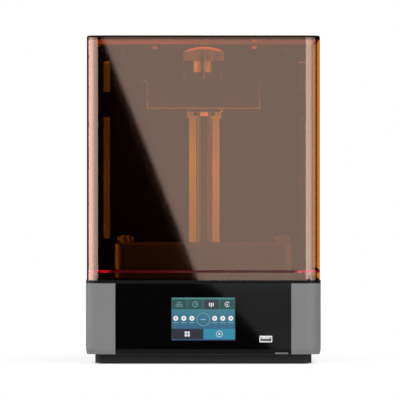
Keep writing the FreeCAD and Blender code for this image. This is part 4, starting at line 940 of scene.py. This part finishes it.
def aimCamera():
    camera = bpy.data.objects.new("camera", bpy.data.cameras.new("camera"))
    scene.collection.objects.link(camera)
    camera.location = (studio["cameraSide"], frontY - studio["cameraDistance"], studio["aimZ"])
    aim = Vector((studio["aimX"], frontY, studio["aimZ"])) - camera.location
    camera.rotation_euler = aim.to_track_quat("-Z", "Y").to_euler()
    camera.data.sensor_width = studio["sensor"]
    camera.data.lens = studio["sensor"] * studio["cameraDistance"] / studio["frameWidth"]
    camera.data.clip_end = studio["farEnd"]
    scene.camera = camera


def faceToCard(x, z):  # the point of the card that the front face mirrors to the camera at x, z
    share = studio["cardDistance"] / studio["cameraDistance"]
    return (x + (x - studio["cameraSide"]) * share, frontY - studio["cardDistance"],
            z + (z - studio["aimZ"]) * share)


def emitter(name, power, fades=()):  # fades = (axis, from, to, share at from, share at to)
    material, wire = startMaterial(name)
    light = wire.make("ShaderNodeEmission", {}, {"Color": pureWhite, "Strength": power})
    share = None
    for axis, start, end, first, last in fades:
        fade = objectPlace(wire).axes()[axis].ramp(start, end, first, last)
        share = fade * share if share else fade
    if share:
        unlit = wire.make("ShaderNodeEmission", {}, {"Color": pureBlack, "Strength": 0.0})
        light = mixShader(wire, share, unlit, light)
    return endMaterial(material, wire, light)


def panel(name, corners, material, faces=None):
    mesh = bpy.data.meshes.new(name)
    mesh.from_pydata(corners, [], faces or [list(range(len(corners)))])
    mesh.materials.append(material)
    return newObject(name, mesh)


def onlyMirrored(card):
    card.visible_camera = False
    card.visible_diffuse = False
    card.visible_shadow = False
    card.visible_transmission = False


def softbox(name, power, fades=(), corners=None, track=None):
    faces = None
    if track:  # a standing card that follows a track of (x, y)
        low, high = studio["cardLow"], studio["cardHigh"]
        corners = [(x, y, low) for x, y in track] + [(x, y, high) for x, y in reversed(track)]
        last = len(corners) - 1
        faces = [(i, i + 1, last - i - 1, last - i) for i in range(len(track) - 1)]
    onlyMirrored(panel(name, corners, emitter(name + "Glow", power, fades), faces))


# the front card in x and z of the front face: its slanting edge, and the heights between which it dims;
# the black flag behind it is in x and z of its own plane
frontCard = dict(power=1.8, dimBetween=(0.085, 0.105), dimShare=0.5, rightSide=[(0.5, -0.05), (0.5, 0.42)],
                 edge=[(-0.135, 0.42), (-0.116, 0.38), (-0.095, 0.326), (-0.066, 0.2545), (-0.005, 0.098),
                       (0.010, 0.095), (0.0724, 0.028), (0.15, -0.05)],
                 flagGap=0.05, flag=[(-1.0, -0.4), (0.8, -0.4), (0.8, 0.6), (-1.0, 0.6)])
cards = dict(
    leftSoftbox=dict(power=8.0, fades=[(1, -1.2, 0.0, 0.4, 1.0)], track=[(-1.2, -2.5), (-1.2, 0.46)]),
    topSoftbox=dict(power=5.0, fades=[(0, -0.9, -0.4, 0.11, 1.0), (0, 0.4, 0.9, 1.0, 0.11),
                                      (1, -1.0, -0.5, 0.11, 1.0), (1, 0.2, 0.7, 1.0, 0.11)],
                    corners=[(-0.9, -1.0, 1.7), (0.9, -1.0, 1.7), (0.9, 0.7, 1.7), (-0.9, 0.7, 1.7)]),
    behindSoftbox=dict(power=6.0, fades=[(0, -0.7, -0.4, 0.09, 1.0), (0, 0.4, 0.7, 1.0, 0.09),
                                         (2, 1.5, 1.9, 1.0, 0.09)],
                       corners=[(-0.7, 1.7, 0.75), (0.7, 1.7, 0.75), (0.7, 1.7, 1.9), (-0.7, 1.7, 1.9)]),
    leftFlag=dict(power=0.0, track=[(-1.2, 0.46), (-0.9, 1.4), (-0.3, 1.9)]),
    rightFlag=dict(power=0.0, track=[(1.25, -0.25), (1.25, 1.2), (0.3, 1.9)]),
    rightSoftbox=dict(power=5.4, fades=[(0, 0.15, 0.42, 0.35, 1.0), (1, -1.9, -0.2, 1.0, 0.3)],
                      track=[(0.15, frontY - 1.8), (1.2, frontY - 1.8), (1.2, -0.25)]))


def softboxes():
    look = frontCard
    corners = [faceToCard(x, z) for x, z in look["edge"] + look["rightSide"]]
    dimLow, dimHigh = [faceToCard(0, z)[2] for z in look["dimBetween"]]
    softbox("frontSoftbox", look["power"], [(2, dimLow, dimHigh, look["dimShare"], 1.0)], corners)
    back = frontY - studio["cardDistance"] - look["flagGap"]
    softbox("frontFlag", 0.0, corners=[(x, back, z) for x, z in look["flag"]])
    for cardName, cardLook in cards.items():
        softbox(cardName, **cardLook)


lamps = dict(
    keyLamp=dict(stand=(-1.5, -1.9, 1.3), aim=(0, 0, 0.15), size=1.0, power=36, mirrored=False),
    topLamp=dict(stand=(0.2, -0.4, 1.9), aim=(0, 0, 0.2), size=0.9, power=24, mirrored=True),
    rightLamp=dict(stand=(1.7, -1.2, 0.7), aim=(0, 0, 0.2), size=0.8, power=17, mirrored=True))


def lamp(name, stand, aim, size, power, mirrored):
    light = bpy.data.lights.new(name, "AREA")
    light.shape = "DISK"
    light.size = size
    light.energy = power
    lampObject = bpy.data.objects.new(name, light)
    scene.collection.objects.link(lampObject)
    lampObject.location = stand
    lampObject.rotation_euler = (Vector(aim) - Vector(stand)).to_track_quat("-Z", "Y").to_euler()
    lampObject.visible_camera = False
    lampObject.visible_glossy = mirrored


# the floor turns white for the camera in two steps, counted from the middle of the object
floorLook = dict(half=3.0, colour=(0.9, 0.9, 0.9, 1), near=(0.120, 0.135), nearShare=0.86, far=(0.14, 0.34),
                 farShare=0.14)


def paleFloor():
    look = floorLook
    material, wire = startMaterial("floorWhite")
    lit = wire.make("ShaderNodeBsdfDiffuse", {}, {"Color": look["colour"]})
    plain = wire.make("ShaderNodeEmission", {}, {"Color": pureWhite, "Strength": 1.0})
    seen = wire.make("ShaderNodeLightPath", output="Is Camera Ray")
    x, y, z = objectPlace(wire).axes()
    reach = wire.math("MAXIMUM", abs(x), abs(y))
    away = reach.ramp(*look["near"], 0.0, look["nearShare"]) + reach.ramp(*look["far"], 0.0, look["farShare"])
    endMaterial(material, wire, mixShader(wire, seen * away, lit, plain))
    half = look["half"]
    floor = panel("floor", [(-half, -half, 0), (half, -half, 0), (half, half, 0), (-half, half, 0)], material)
    floor.visible_glossy = False


def whiteWorld():
    world = bpy.data.worlds.new("studio")
    scene.world = world
    world.use_nodes = True
    world.node_tree.nodes.clear()
    wire = Wire(world.node_tree)
    seen, mirrored, passed = [wire.make("ShaderNodeLightPath", output=kind)
                              for kind in ("Is Camera Ray", "Is Glossy Ray", "Is Transmission Ray")]
    strength = wire.math("MAXIMUM", wire.math("MAXIMUM", seen, passed), mirrored * studio["mirroredSky"])
    strength = wire.math("MAXIMUM", strength, studio["sky"])
    sky = wire.make("ShaderNodeBackground", {}, {"Color": pureWhite, "Strength": strength})
    wire.make("ShaderNodeOutputWorld", {}, {"Surface": sky})


aimCamera()
softboxes()
for lampName, lampLook in lamps.items():
    lamp(lampName, **lampLook)
paleFloor()
whiteWorld()
scene.view_settings.view_transform = "Standard"
print("studio set")
